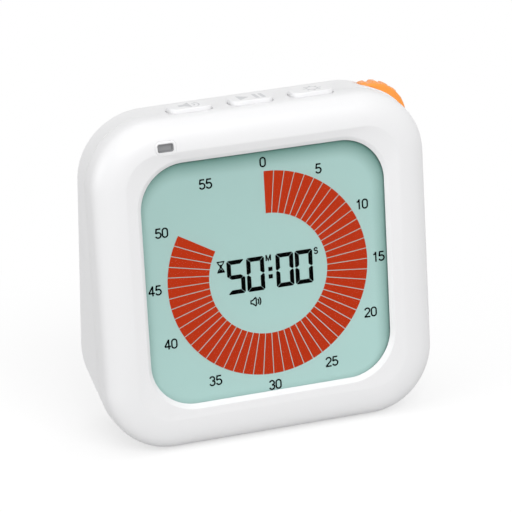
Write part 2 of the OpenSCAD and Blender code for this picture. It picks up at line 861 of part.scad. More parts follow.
// Half of the wheel's cross-section, with both rims rounded
module wheel_profile() {
  bore = shaft_r + slip;
  translate([bore, 0]) square([dial_r - dial_round - bore, dial_t]);
  translate([bore, dial_round]) square([dial_r - bore, dial_t - 2 * dial_round]);
  for (z = [dial_round, dial_t - dial_round])
    translate([dial_r - dial_round, z]) circle(r = dial_round);
}

module thumb_wheel() {
  lobe_a = 360 / dial_lobes;
  color("darkorange") translate([dial_x, dial_back_y, dial_z]) rotate([90, 0, 0]) {
    difference() {
      rotate_extrude($fn = 96) wheel_profile();
      for (k = [0:dial_lobes - 1])
        rotate(k * lobe_a) translate([dial_r - dial_notch + dial_notch_r, 0, -cut])
          cylinder(r = dial_notch_r, h = dial_t - dial_band + cut, $fn = coarse);
    }
    // flat in the bore that turns the shaft
    linear_extrude(dial_t) intersection() {
      circle(r = shaft_r + 2 * slip);
      translate([shaft_r * flat_share + slip, -shaft_r]) square([shaft_r, 2 * shaft_r]);
    }
  }
}

module wheel_shaft() {
  len = dial_t + encoder_y - dial_back_y + shaft_in - shaft_front;
  color("silver") translate([dial_x, encoder_y + shaft_in, dial_z]) rotate([90, 0, 0])
    difference() {
      cylinder(r = shaft_r, h = len);
      translate([shaft_r * flat_share, -shaft_r, encoder_y - dial_back_y + shaft_in])
        cube([shaft_r, 2 * shaft_r, len]);
    }
}

module encoder_case() {
  color("slategray") translate([dial_x, encoder_y, dial_z]) rotate([-90, 0, 0]) difference() {
    rotate(45) translate([-encoder_w / 2, -encoder_w / 2, 0])
      cube([encoder_w, encoder_w, encoder_t]);
    translate([0, 0, -cut]) cylinder(r = shaft_r + slip, h = cut + shaft_in + touch);
  }
}

// Small board with one tab towards each of its two screws
module encoder_board() {
  color("seagreen") translate([0, encoder_board_y + encoder_board_t, 0]) rotate([90, 0, 0])
    linear_extrude(encoder_board_t) difference() {
      union() {
        translate([dial_x, dial_z]) rotate(45) square(encoder_w, center = true);
        translate([dial_x - encoder_arm, dial_z - encoder_tab_r])
          square([encoder_arm, 2 * encoder_tab_r]);
        translate([dial_x - encoder_tab_r, dial_z - encoder_arm])
          square([2 * encoder_tab_r, encoder_arm]);
        for (p = encoder_spots()) translate([p[0], mid_z + p[1]]) circle(r = encoder_tab_r);
      }
      for (p = encoder_spots()) translate([p[0], mid_z + p[1]]) circle(r = board_screw_r + slip);
    }
}

// ---- sound ----

// The frame and the cone are turned shapes whose profiles run from the back face inwards
module on_speaker()
  on_back() translate([speaker_x, speaker_face, speaker_z]) rotate([90, 0, 0])
    rotate_extrude($fn = 96) children();

module speaker_frame() {
  color("silver") on_speaker() polygon([
    [speaker_r, 0], [speaker_r, speaker_t], [basket_r, speaker_t],
    [basket_r, speaker_t - basket_t], [speaker_r - speaker_rim, basket_t],
    [speaker_r - speaker_rim, 0]]);
}

module speaker_cone() {
  deep = speaker_t - basket_t - cone_t - touch;
  edge_r = speaker_r - speaker_rim - touch;
  color("black") on_speaker() polygon([
    [0, deep + cone_t], [cone_r, deep + cone_t], [edge_r, cone_t],
    [edge_r, touch], [cone_r, deep], [0, deep]]);
}

module speaker_magnet() {
  color("dimgray") on_back()
    back_upright(speaker_face - speaker_t - magnet_t, speaker_face - speaker_t, speaker_z, speaker_x)
      circle(r = magnet_r);
}

// ---- power ----

// Cells lie along X, every second one turned round
module battery_cells() {
  color("goldenrod") on_back() for (k = [0:cell_count - 1]) {
    side = k % 2 == 0 ? 1 : -1;
    translate([-side * cell_len / 2 - side * nub_len / 2, cell_y, cell_z(k)])
      rotate([0, side * 90, 0]) {
        cylinder(r = cell_r, h = cell_len);
        cylinder(r = nub_r, h = cell_len + nub_len);
      }
  }
}

function helix(t, r0, r1, len) = [
  (r0 + (r1 - r0) * t) * cos(360 * spring_turns * t),
  (r0 + (r1 - r0) * t) * sin(360 * spring_turns * t), len * t];

// One coil spring that narrows from its root to its tip, along Z from the origin
module coil(len) {
  steps = 12 * spring_turns;
  mids = [for (k = [0:steps]) helix(k / steps, cell_r - spring_root_in, nub_r, len)];
  tube(mids, spring_wire_r);
}

module cell_springs() {
  reach = contact_room - plate_t - 1.5 * spring_wire_r - 2 * touch;
  color("silver") on_back() for (k = [0:cell_count - 1]) {
    side = k % 2 == 0 ? 1 : -1;
    translate([-side * bay_w / 2, cell_y, cell_z(k)]) rotate([0, side * 90, 0]) {
      contact_plate();
      translate([0, 0, plate_t + spring_wire_r / 2]) coil(reach);
    }
  }
}

module cell_plates() {
  color("silver") on_back() for (k = [0:cell_count - 1]) {
    side = k % 2 == 0 ? 1 : -1;
    translate([side * bay_w / 2, cell_y, cell_z(k)]) rotate([0, -side * 90, 0]) {
      contact_plate();
      translate([0, 0, plate_t]) cylinder(r = nub_r + plate_t, h = contact_room - plate_t - touch);
    }
  }
}

// Flat metal contact on the bay's side wall, with a tab out through the wall
module contact_plate() {
  translate([-plate_size / 2, -plate_size / 2, 0]) cube([plate_size, plate_size, plate_t]);
  translate([-tab_h / 2, -plate_t / 2, -bay_wall_t - tab_out])
    cube([tab_h, plate_t, bay_wall_t + tab_out]);
}

module battery_door() {
  color("white") on_back() {
    difference() {
      union() {
        intersection() {
          back_upright(door_in, back_edge_r, door_low + door_h / 2) door_plan(0);
          back_upright(door_in, back_edge_r, door_low + door_t / 2 + door_h / 2)
            square([door_w, door_h], center = true);
        }
        // round lower edge that the door tips on
        translate([-door_w / 2, back_edge_r - door_t / 2, door_low + door_t / 2])
          rotate([0, 90, 0]) cylinder(r = door_t / 2, h = door_w);
      }
      // thumb scoop at the upper edge
      translate([0, back_edge_r + scoop_r - scoop_depth, door_low + door_h - scoop_below])
        rotate([0, 90, 0]) cylinder(r = scoop_r, h = scoop_w, center = true);
    }
    // two hooks behind the sill
    for (sx = [-1, 1]) {
      translate([sx * hook_x - hook_w / 2, door_in - hook_reach, door_low + door_gap])
        cube([hook_w, hook_reach + touch, hook_t]);
      translate([sx * hook_x - hook_w / 2, door_in - hook_reach, door_low - hook_tip])
        cube([hook_w, hook_t, hook_tip + door_gap + hook_t]);
    }
    // springy catch inside the bay's upper wall
    translate([-catch_w / 2, door_in - catch_len, bay_low + bay_h - catch_gap - catch_t])
      cube([catch_w, catch_len + touch, catch_t]);
  }
}

// ---- screws and feet ----

// A pan-head screw along Z: the shank points down, the head's underside is at 0
module screw(r, len, head_r, head_t) {
  translate([0, 0, -len]) cylinder(r = r, h = len);
  difference() {
    cylinder(r = head_r, h = head_t);
    for (turn = [0, 90])
      rotate(turn) translate([-head_r * slot_share, -slot_w / 2, head_t / 2])
        cube([2 * head_r * slot_share, slot_w, head_t]);
  }
}

module case_screws() {
  color("silver") for (sx = [-1, 1], z = case_screw_zs)
    translate([sx * case_screw_x, part_y + case_seat_t, mid_z + z]) rotate([-90, 0, 0])
      screw(case_screw_r, case_seat_t + case_screw_in - bore_spare, case_head_r, case_head_t);
}

module board_screws() {
  color("silver") for (sx = [-1, 1], z = board_screw_zs)
    translate([sx * board_screw_x, front_y + board_back_d, mid_z + z]) rotate([-90, 0, 0])
      screw(board_screw_r, board_t + board_screw_in, small_head_r, small_head_t);
}

module key_board_screws() {
  color("silver") for (sx = [-1, 1])
    translate([sx * key_screw_x, key_screw_y, key_board_z]) rotate([180, 0, 0])
      screw(board_screw_r, key_board_t + key_screw_in, small_head_r, small_head_t);
}

module encoder_screws() {
  color("silver") for (p = encoder_spots())
    translate([p[0], encoder_board_y, mid_z + p[1]]) rotate([90, 0, 0])
      screw(board_screw_r, encoder_board_t + encoder_screw_in, small_head_r, small_head_t);
}

module foot_pads() {
  color("gray") for (s = pad_spots, sx = [-1, 1])
    translate([sx * s[0], front_y + s[1], 0])
      cylinder(r = pad_r, h = base_gap + parting_step + pad_sunk);
}

// ---- wires ----

// A closed tube of small round section along a list of points
module tube(mids, r) {
  n = len(mids);
  dirs = [for (k = [0:n - 1]) unit(mids[min(k + 1, n - 1)] - mids[max(k - 1, 0)])];
  points = [for (k = [0:n - 1]) let (u = side_of(dirs[k]), v = cross(dirs[k], u))
    for (s = [0:wire_sides - 1])
      mids[k] + r * (cos(360 * s / wire_sides) * u + sin(360 * s / wire_sides) * v)];
  faces = concat(
    [[for (s = [0:wire_sides - 1]) s]],
    [for (k = [0:n - 2], s = [0:wire_sides - 1]) let (t = (s + 1) % wire_sides)
      [k * wire_sides + s, (k + 1) * wire_sides + s, (k + 1) * wire_sides + t, k * wire_sides + t]],
    [[for (s = [wire_sides - 1:-1:0]) (n - 1) * wire_sides + s]]);
  polyhedron(points, faces, convexity = 6);
}

function unit(v) = v / norm(v);
function side_of(d) = unit(cross(d, [0.31, 0.17, 0.93]));

// A smooth run through hand-set points
function blend(a, b, c, d, t) = 0.5 * (2 * b + (c - a) * t + (2 * a - 5 * b + 4 * c - d) * t * t
                                       + (3 * b - a - 3 * c + d) * t * t * t);
function smooth(p, n = 4) = concat([for (k = [0:len(p) - 2], s = [0:n - 1])
  blend(p[max(k - 1, 0)], p[k], p[k + 1], p[min(k + 2, len(p) - 1)], s / n)], [p[len(p) - 1]]);

// Place of a point of the leaning back's frame, in the case's frame
function from_back(p) = [
  p[0],
  front_y + back_low_y + p[1] * cos(back_lean) - p[2] * sin(back_lean),
  mid_z + back_low_z + p[1] * sin(back_lean) + p[2] * cos(back_lean)];

// Place just past a solder tab outside the bay
function tab_end(side, k) = from_back([side * (bay_w / 2 + bay_wall_t + tab_out + lead_r + touch),
                                       cell_y, cell_z(k)]);
function plug_top(p, dx) = [p[0] + dx, plug_y + plug_t + touch, mid_z + p[1]];

module battery_leads() {
  bow = 2;
  for (k = [0, 1]) {
    start = tab_end(-1, k * (cell_count - 1));
    stop = plug_top(battery_plug, k == 0 ? plug_pin : -plug_pin);
    color(k == 0 ? "black" : "red") tube(smooth([
      start, start + [-0.2, -4, 2], [start[0] - bow * k, part_y + 6, start[2] + 6],
      stop + [-1, 4, -5], stop + [0, 2.4, -0.6], stop + [0, 1, 0], stop]), lead_r);
  }
}

module speaker_leads() {
  for (k = [0, 1]) {
    start = from_back([speaker_x - magnet_r + 4 * k * lead_r, speaker_face - speaker_t - lead_r - touch,
                       speaker_z - magnet_r - 2]);
    stop = plug_top(speaker_plug, k == 0 ? -plug_pin : plug_pin);
    color(k == 0 ? "black" : "red") tube(smooth([
      start, start + [0, -2, -0.6],
      [(start[0] + stop[0]) / 2, (start[1] + stop[1]) / 2, start[2] - 3],
      stop + [0, 3.2, 2.5], stop + [0, 1.9, 0.3], stop + [0, 0.8, 0], stop]), lead_r);
  }
}

// A flat ribbon: its bends are drawn from the side and given a width along X
module ribbon(points, x) {
  n = len(points);
  half = ribbon_t / 2;
  dirs = [for (k = [0:n - 1]) unit(points[min(k + 1, n - 1)] - points[max(k - 1, 0)])];
  upper = [for (k = [0:n - 1]) points[k] + half * [-dirs[k][1], dirs[k][0]]];
  lower = [for (k = [n - 1:-1:0]) points[k] - half * [-dirs[k][1], dirs[k][0]]];
  translate([x - ribbon_w / 2, 0, 0]) rotate([90, 0, 90])
    linear_extrude(ribbon_w) polygon(concat(upper, lower));
}

module key_ribbon() {
  top = key_board_z - touch;
  low = mid_z + key_plug[1];
  far = plug_y + plug_t;
  color("gainsboro") ribbon(smooth([
    [key_screw_y - 2, top], [key_screw_y - 1.9, top - 2], [key_screw_y - 1.2, top - 5],
    [far + 2.6, low + 1.4], [far + 1, low], [far + touch, low]]), key_plug[0]);
}

module encoder_ribbon() {
  x = dial_plug[0];
  top = mid_z + dial_off_z - encoder_tab_r - bore_spare;
  low = mid_z + dial_plug[1];
  far = plug_y + plug_t;
  back = encoder_board_y + encoder_board_t + touch + ribbon_t / 2;
  color("gainsboro") ribbon(smooth([
    [back, top + 1.6], [back, top - 3], [back - 1, top - 8],
    [far + 5, low + 6], [far + 1.8, low + 0.6], [far + touch, low]]), x);
}

front_shell();
rear_shell();
window_lens();
indicator_lens();
display_segments();
display_front_film();
display_front_glass();
display_rear_glass();
display_rear_film();
display_frame();
contact_strip();
backlight_diffuser();
backlight_guide();
backlight_reflector();
backlight_leds();
main_board();
controller_chip();
board_components();
indicator_led();
wire_connectors();
key_board();
key_switches();
sound_key();
start_key();
light_key();
sound_plunger();
start_plunger();
light_plunger();
thumb_wheel();
wheel_shaft();
encoder_case();
encoder_board();
speaker_frame();
speaker_cone();
speaker_magnet();
battery_cells();
cell_springs();
cell_plates();
battery_door();
case_screws();
board_screws();
key_board_screws();
encoder_screws();
foot_pads();
battery_leads();
speaker_leads();
key_ribbon();
encoder_ribbon();
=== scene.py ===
from math import acos, atan2, cos, hypot, pi, radians, sin, sqrt, tau

import bmesh
import bpy
from mathutils import Matrix, Vector


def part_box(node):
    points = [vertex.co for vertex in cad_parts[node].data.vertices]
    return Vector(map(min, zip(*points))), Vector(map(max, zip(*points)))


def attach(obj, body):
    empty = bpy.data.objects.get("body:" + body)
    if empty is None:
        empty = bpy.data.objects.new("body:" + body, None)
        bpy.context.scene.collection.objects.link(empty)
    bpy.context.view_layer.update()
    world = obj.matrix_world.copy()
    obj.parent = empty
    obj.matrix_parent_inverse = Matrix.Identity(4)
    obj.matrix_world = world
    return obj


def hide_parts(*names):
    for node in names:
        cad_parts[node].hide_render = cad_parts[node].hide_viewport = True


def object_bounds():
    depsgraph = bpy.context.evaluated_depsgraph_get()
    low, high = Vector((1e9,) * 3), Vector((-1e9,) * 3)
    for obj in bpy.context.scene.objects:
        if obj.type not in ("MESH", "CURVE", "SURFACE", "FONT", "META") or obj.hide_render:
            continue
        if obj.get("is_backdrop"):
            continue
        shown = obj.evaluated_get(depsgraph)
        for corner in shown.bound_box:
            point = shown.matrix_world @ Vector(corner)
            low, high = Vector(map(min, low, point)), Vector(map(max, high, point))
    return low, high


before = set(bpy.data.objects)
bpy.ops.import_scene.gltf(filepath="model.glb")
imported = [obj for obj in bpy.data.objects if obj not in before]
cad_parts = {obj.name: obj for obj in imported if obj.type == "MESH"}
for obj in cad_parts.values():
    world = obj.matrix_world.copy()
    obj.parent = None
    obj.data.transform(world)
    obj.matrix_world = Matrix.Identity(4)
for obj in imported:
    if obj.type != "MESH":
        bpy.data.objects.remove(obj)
cad_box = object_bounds()


# ---- studio: camera, lamps, world and floor ----
# A long lens a little above the timer and to its left, in a plain white studio: an even
# surround, a large soft lamp high in front, a weaker one on the left and a faint one overhead.

camera_data = bpy.data.cameras.new("camera")
camera_data.sensor_width = 36
camera_data.lens = 202.78
camera_data.clip_end = 20
camera = bpy.data.objects.new("camera", camera_data)
camera_place = Vector((-0.22543, -0.68799, 0.26374))
camera_turn = radians(-18.33)
camera_rise = radians(16.89)
camera_roll = radians(-3.15)
camera.matrix_world = (
    Matrix.Translation(camera_place)
    @ Matrix.Rotation(camera_turn, 4, "Z")
    @ Matrix.Rotation(pi / 2 - camera_rise, 4, "X")
    @ Matrix.Rotation(camera_roll, 4, "Z")
)
bpy.context.scene.collection.objects.link(camera)
bpy.context.scene.camera = camera
bpy.context.scene.view_settings.view_transform = "Standard"


def add_lamp(name, place, target, size, watts):
    data = bpy.data.lights.new(name, "AREA")
    data.shape = "DISK"
    data.size = size
    data.energy = watts
    lamp = bpy.data.objects.new(name, data)
    aim = (Vector(target) - Vector(place)).to_track_quat("-Z", "Y").to_matrix().to_4x4()
    lamp.matrix_world = Matrix.Translation(place) @ aim
    bpy.context.scene.collection.objects.link(lamp)


timer_middle = (0, 0, 0.045)
add_lamp("front_lamp", (-0.02, -1.17, 0.72), timer_middle, 0.9, 8.05)
add_lamp("overhead_lamp", (0, -0.10, 1.35), timer_middle, 1.0, 0.9)
add_lamp("left_lamp", (-1.2, -0.4, 0.3), timer_middle, 0.9, 3.1)


def linear(code):
    """A colour from its sRGB hex code, as the linear values that a shader takes."""
    parts = [int(code[i:i + 2], 16) / 255 for i in (1, 3, 5)]
    return [p / 12.92 if p <= 0.04045 else ((p + 0.055) / 1.055) ** 2.4 for p in parts] + [1]


def node(tree, kind, inputs=None, **settings):
    """Adds a node. Each input, by name or number, takes a value or another node's output."""
    made = tree.nodes.new(kind)
    for name, value in settings.items():
        setattr(made, name, value)
    for name, value in (inputs or {}).items():
        if isinstance(value, bpy.types.NodeSocket):
            tree.links.new(value, made.inputs[name])
        else:
            made.inputs[name].default_value = value
    return made


def seen_directly(tree):
    """1 for rays from the camera, a mirror or clear plastic, and 0 for those that light the timer."""
    path = node(tree, "ShaderNodeLightPath")
    total = path.outputs["Is Camera Ray"]
    for other in ("Is Glossy Ray", "Is Transmission Ray"):
        total = node(
            tree, "ShaderNodeMath", {0: total, 1: path.outputs[other]}, operation="MAXIMUM"
        ).outputs[0]
    return total


def new_material(name):
    """An empty material, its node tree, and the place in the object of each point that it colours."""
    made = bpy.data.materials.new(name)
    made.use_nodes = True
    tree = made.node_tree
    tree.nodes.clear()
    return made, tree, node(tree, "ShaderNodeTexCoord").outputs["Object"]


def finish(material, surface):
    node(material.node_tree, "ShaderNodeOutputMaterial", {"Surface": surface.outputs[0]})
    return material


surround_level = 0.645
world = bpy.data.worlds.new("white_surround")
world.use_nodes = True
world.node_tree.nodes.clear()
tree = world.node_tree
level = node(tree, "ShaderNodeMapRange", {0: seen_directly(tree), 3: surround_level, 4: 1.0})
background = node(tree, "ShaderNodeBackground", {"Color": (1, 1, 1, 1), "Strength": level.outputs[0]})
node(tree, "ShaderNodeOutputWorld", {"Surface": background.outputs[0]})
bpy.context.scene.world = world

# The floor is white to look at, but throws no more light on the timer than a mid grey does. It
# shows the contact shadow and fades to plain white round it.
floor_half = 4.0
floor_bounce, floor_seen = 0.46, 1.12
fade_start, fade_end, fade_least = 0.05, 0.16, 0.6
bm = bmesh.new()
bmesh.ops.create_grid(bm, x_segments=1, y_segments=1, size=floor_half)
floor_mesh = bpy.data.meshes.new("floor")
bm.to_mesh(floor_mesh)
bm.free()
floor = bpy.data.objects.new("floor", floor_mesh)
bpy.context.scene.collection.objects.link(floor)
floor_paint, tree, spot = new_material("white_floor_paint")
direct = seen_directly(tree)
paint_grey = node(tree, "ShaderNodeMapRange", {0: direct, 3: floor_bounce, 4: floor_seen})
paint = node(tree, "ShaderNodeBsdfDiffuse", {"Color": paint_grey.outputs[0]})
away = node(tree, "ShaderNodeVectorMath", {0: spot}, operation="LENGTH").outputs["Value"]
far = node(
    tree, "ShaderNodeMapRange", {0: away, 1: fade_start, 2: fade_end, 3: fade_least},
    interpolation_type="SMOOTHSTEP",
)
blank = node(tree, "ShaderNodeMath", {0: far.outputs[0], 1: direct}, operation="MULTIPLY")
white = node(tree, "ShaderNodeEmission", {"Color": (1, 1, 1, 1), "Strength": 1.0})
mixed = node(
    tree, "ShaderNodeMixShader", {0: blank.outputs[0], 1: paint.outputs[0], 2: white.outputs[0]}
)
floor_mesh.materials.append(finish(floor_paint, mixed))
floor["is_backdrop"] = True


# ---- front shell ----
# The front half of the case: a deep square ring with a soft pillowed face, injection moulded
# in white ABS. It carries the window lip, the rebate for the rear half and eight screw bosses.

MM = 0.001
shell_low, shell_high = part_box("front_shell")
face_y = shell_low.y / MM
part_y = shell_high.y / MM
half_w = shell_high.x / MM
mid_z = (shell_low.z + shell_high.z) / 2 / MM
half_h = (shell_high.z - shell_low.z) / 2 / MM
shell_corner = 17.6
shell_wall = 2.0
corner_steps = 20
corner_signs = ((1, 1), (-1, 1), (-1, -1), (1, -1))


def moulded(name, colour, roughness, ior, grain_mm, depth_mm, uneven=0.04):
    """A moulded plastic or rubber: a fine spark-eroded grain and a slightly uneven gloss."""
    made, tree, spot = new_material(name)
    grain = node(
        tree, "ShaderNodeTexNoise", {"Vector": spot, "Scale": 1 / (grain_mm * MM), "Detail": 2.0}
    )
    drift = node(tree, "ShaderNodeTexNoise", {"Vector": spot, "Scale": 1 / (14 * MM), "Detail": 1.0})
    gloss = node(
        tree, "ShaderNodeMapRange",
        {0: drift.outputs["Fac"], 3: roughness - uneven, 4: roughness + uneven},
    )
    bump = node(
        tree, "ShaderNodeBump",
        {"Height": grain.outputs["Fac"], "Strength": 0.6, "Distance": depth_mm * MM},
    )
    return finish(made, node(tree, "ShaderNodeBsdfPrincipled", {
        "Base Color": linear(colour), "Roughness": gloss.outputs[0], "IOR": ior,
        "Normal": bump.outputs[0],
    }))


# White ABS from a fine satin tool: an even white with a soft sheen and no visible grain.
white_abs = moulded("white_abs", "#F0F0F1", 0.36, 1.54, 0.35, 0.002)


def ring(bm, place):
    """A closed loop of edges. place(corner, turn) gives each point on the way round four corners."""
    count = corner_steps + 1
    verts = bmesh.ops.create_circle(bm, segments=4 * count, radius=1)["verts"]
    for i, vert in enumerate(verts):
        corner, step = divmod(i, count)
        vert.co = place(corner, (corner + step / corner_steps) * pi / 2)
    return verts


def rounded_ring(bm, half_a, half_b, r, at):
    """A rounded rectangle. at(a, b) gives the place of each of its points."""
    def place(corner, turn):
        across, up = corner_signs[corner]
        return at(across * (half_a - r) + r * cos(turn), up * (half_b - r) + r * sin(turn))
    return ring(bm, place)


def flat_ring(bm, half_x, half_z, r, depth, middle=(0, 0)):
    """A rounded rectangle stood upright at a depth behind the face."""
    return rounded_ring(
        bm, half_x, half_z, r, lambda x, z: (middle[0] + x, face_y + depth, mid_z + middle[1] + z)
    )


def loop_edges(verts):
    """The edges that run round one ring, without those that lead to the next."""
    own = set(verts)
    return [e for e in {e for v in verts for e in v.link_edges} if own.issuperset(e.verts)]


def skin(bm, rings, closed=False):
    """Joins each ring to the next, and the last to the first if closed. Otherwise caps both ends."""
    for a, b in zip(rings, rings[1:] + rings[:1] if closed else rings[1:]):
        bmesh.ops.bridge_loops(bm, edges=loop_edges(a) + loop_edges(b))
    if not closed:
        for end in (rings[0], rings[-1]):
            bmesh.ops.edgeloop_fill(bm, edges=loop_edges(end))


def pin(bm, start, end, r, end_r=None, segments=32):
    """A round pin, or a cone, from one point to another."""
    start, end = Vector(start), Vector(end)
    turn = (end - start).to_track_quat("Z", "Y").to_matrix().to_4x4()
    bmesh.ops.create_cone(
        bm, cap_ends=True, segments=segments, radius1=r, radius2=r if end_r is None else end_r,
        depth=(end - start).length, matrix=Matrix.Translation((start + end) / 2) @ turn,
    )


def as_object(bm):
    """A loose object from a mesh made in millimetres."""
    bmesh.ops.recalc_face_normals(bm, faces=bm.faces)
    if bm.calc_volume(signed=True) < 0:
        bmesh.ops.reverse_faces(bm, faces=bm.faces)
    mesh = bpy.data.meshes.new("shape")
    bm.to_mesh(mesh)
    bm.free()
    made = bpy.data.objects.new("shape", mesh)
    bpy.context.scene.collection.objects.link(made)
    return made


def combine(piece, bm, operation):
    """Cuts a loose object with another mesh, or joins them: DIFFERENCE, UNION or INTERSECT."""
    tool = as_object(bm)
    modifier = piece.modifiers.new("combine", "BOOLEAN")
    modifier.operation = operation
    modifier.solver = "EXACT"
    modifier.object = tool
    mesh = bpy.data.meshes.new_from_object(piece.evaluated_get(bpy.context.evaluated_depsgraph_get()))
    piece.modifiers.clear()
    piece.data = mesh
    bpy.data.objects.remove(tool)


def place(piece, name, body, slot, *materials, sharp=35):
    """Scales a loose object to metres, smooths it up to the sharp angle and puts it on a body."""
    mesh = piece.data
    piece.name = mesh.name = name
    mesh.transform(Matrix.Diagonal((MM, MM, MM, 1)))
    for material in materials:
        mesh.materials.append(material)
    mesh.polygons.foreach_set("use_smooth", [True] * len(mesh.polygons))
    mesh.set_sharp_from_angle(angle=radians(sharp))
    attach(piece, body)
    return piece


# the face: a long rounding from the rim, a soft ridge, and a band that dips to the window's bevel
round_w = 9.6
round_d = 5.2
round_power = 2.3
foot_power = 1.0
ridge_in = 8.2
band_slope = 0.15
band_tilt = 0.5
rim_ease = 0.03
seam_gap = 0.2
window_half = (32.9, 32.2)
window_r = 11.8
window_bevel = 1.05
lip_t = 1.5


def face_depth(inset, z=0.0):
    """The face's depth at a distance in from the rim. Its rounding is fuller towards the foot."""
    power = round_power + foot_power * max(0, -z / half_h) ** 2
    reach = (round_w - min(inset, ridge_in)) / round_w
    return round_d * (1 - (1 - reach ** power) ** (1 / power)) + band_slope * max(0, inset - ridge_in)


def outline_ring(bm, inset, depth):
    """The front shell's outline, drawn in by an inset, at a depth behind the face."""
    return flat_ring(bm, half_w - inset, half_h - inset, shell_corner - inset, depth)


def face_ring(bm, inset):
    """The same outline, laid on the rounded face."""
    return rounded_ring(
        bm, half_w - inset, half_h - inset, shell_corner - inset,
        lambda x, z: (x, face_y + face_depth(inset, z), mid_z + z),
    )


bm = bmesh.new()
rings = []
shell_d = part_y - face_y
for turn in range(90, -1, -30):
    a = radians(turn)
    rings.append(outline_ring(bm, rim_ease * (1 - cos(a)), shell_d - rim_ease * (1 - sin(a))))
face_steps = 17
for step in range(face_steps, -1, -1):
    inset = round_w * (1 - sin(radians(90 * step / face_steps)))
    if inset < ridge_in - 0.3:
        rings.append(face_ring(bm, inset))
for inset in (ridge_in - 0.2, ridge_in, ridge_in + 0.2):
    rings.append(face_ring(bm, inset))
band_end = face_depth(half_w - window_half[0] - window_bevel)
window_edge = (
    (window_bevel + 0.12, band_end - 0.012), (window_bevel, band_end),
    (window_bevel - 0.12, band_end + 0.1), (0.1, 1.24), (0, 1.38), (0, shell_wall),
)
for out, depth in window_edge:
    lean_in = band_tilt if out > 0.5 else 0
    rings.append(rounded_ring(
        bm, window_half[0] + out, window_half[1] + out, window_r + out,
        lambda x, z: (x, face_y + depth + lean_in * z / half_h, mid_z + z),
    ))
for step in range(1, 10):
    a = radians(10 * step)
    inset = shell_wall + round_w * (1 - sin(a))
    rings.append(outline_ring(bm, inset, shell_wall + round_d * (1 - cos(a))))
rebate_w, rebate_start = 0.87, shell_d - 1.7
for inset, depth in ((shell_wall, rebate_start), (rebate_w, rebate_start), (rebate_w, shell_d)):
    rings.append(outline_ring(bm, inset, depth))
skin(bm, rings, closed=True)

# two cuts keep the faces beside the indicator's hole short, so that they stay evenly shaded
indicator_x = -25.7
indicator_z = 36.8
for x in (indicator_x - 3.4, indicator_x + 3.4):
    everything = bm.verts[:] + bm.edges[:] + bm.faces[:]
    bmesh.ops.bisect_plane(bm, geom=everything, plane_co=(x, 0, 0), plane_no=(1, 0, 0))
front = as_object(bm)

# the pocket that the display's frame drops into, behind the window lip
frame_room, frame_room_r = (35.65, 36.15), 2.7
frame_mid = (0, -1.3)
bm = bmesh.new()
skin(bm, [flat_ring(bm, *frame_room, frame_room_r, depth, frame_mid) for depth in (lip_t, shell_d + 1)])
combine(front, bm, "DIFFERENCE")

# the openings that the three keys stand in, half in each shell
key_pitch = 16.4
key_mid_x = 0.2
key_y = part_y
key_half, key_corner = (5.6, 3.2), 2.4


def key_ring(bm, k, extra, z):
    """The outline of the left, middle or right key (-1, 0 or 1), made larger, at a height."""
    return rounded_ring(
        bm, key_half[0] + extra, key_half[1] + extra, key_corner + extra,
        lambda x, y: (key_mid_x + k * key_pitch + x, key_y + y, z),
    )


def key_openings():
    """Tall cutters for the keys' openings. Their last steps ease the edge round each one."""
    bm = bmesh.new()
    top = mid_z + half_h
    steps = ((0.3, 85.2), (0.3, top - 0.15), (0.34, top - 0.04), (0.48, top + 0.12))
    for k in (-1, 0, 1):
        skin(bm, [key_ring(bm, k, extra, z) for extra, z in steps])
    return bm


combine(front, key_openings(), "DIFFERENCE")

# the hole for the indicator's lens, and the low bead round it
indicator_half, indicator_r = (2.1, 1.08), 0.55


def lens_ring(bm, extra, depth):
    """The indicator's outline. Its depth is a number, or follows the height above the middle."""
    def at(x, z):
        d = depth(indicator_z + z) if callable(depth) else depth
        return indicator_x + x, face_y + d, mid_z + indicator_z + z
    half_x, half_z = (half + extra for half in indicator_half)
    return rounded_ring(bm, half_x, half_z, indicator_r + extra, at)


def from_face(rise):
    """A depth that stays a little above the face, or under it where the rise is negative."""
    return lambda z: max(0.004, face_depth(half_h - z) - rise)


groove = ((0.78, -1), (0.78, from_face(-0.02)), (0.66, from_face(-0.16)))
hole = ((0.3, -1), (0.3, 3))
for steps in (groove, hole):
    bm = bmesh.new()
    skin(bm, [lens_ring(bm, out, depth) for out, depth in steps])
    combine(front, bm, "DIFFERENCE")
bead_rises = (
    (0.52, -0.5), (0.52, -0.04), (0.48, 0.06), (0.4, 0.12), (0.18, 0.12), (0.07, 0.07), (0, -0.04)
)
bead = [(out, from_face(rise)) for out, rise in bead_rises] + [(0, 1.9), (0.52, 1.9)]
bm = bmesh.new()
bm.from_mesh(front.data)
skin(bm, [lens_ring(bm, out, depth) for out, depth in bead], closed=True)
bm.to_mesh(front.data)
bm.free()

# the four long bosses that the case's screws bite into, and four short ones for the main board
case_screw_spots = [(side * 38.6, mid_z + z) for side in (-1, 1) for z in (12, -25)]
board_screw_spots = [(side * 39.2, mid_z + z) for side in (-1, 1) for z in (22, -12)]
case_boss_r, case_bore_r = 2.6, 1.28
small_boss_r, board_bore_r = 1.9, 0.98
board_front_y = -11.5
boss_start = face_y + 1.4
bosses, bores = bmesh.new(), bmesh.new()
for x, z in case_screw_spots:
    pin(bosses, (x, boss_start, z), (x, part_y - 0.05, z), case_boss_r)
    pin(bores, (x, part_y - 6.5, z), (x, part_y + 1, z), case_bore_r)
for x, z in board_screw_spots:
    pin(bosses, (x, boss_start, z), (x, board_front_y - 0.01, z), small_boss_r)
    pin(bores, (x, board_front_y - 3.8, z), (x, board_front_y + 1, z), board_bore_r)
combine(front, bosses, "UNION")
combine(front, bores, "DIFFERENCE")
place(front, "front_cover", "case", "white_abs", white_abs)
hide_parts("front_shell")

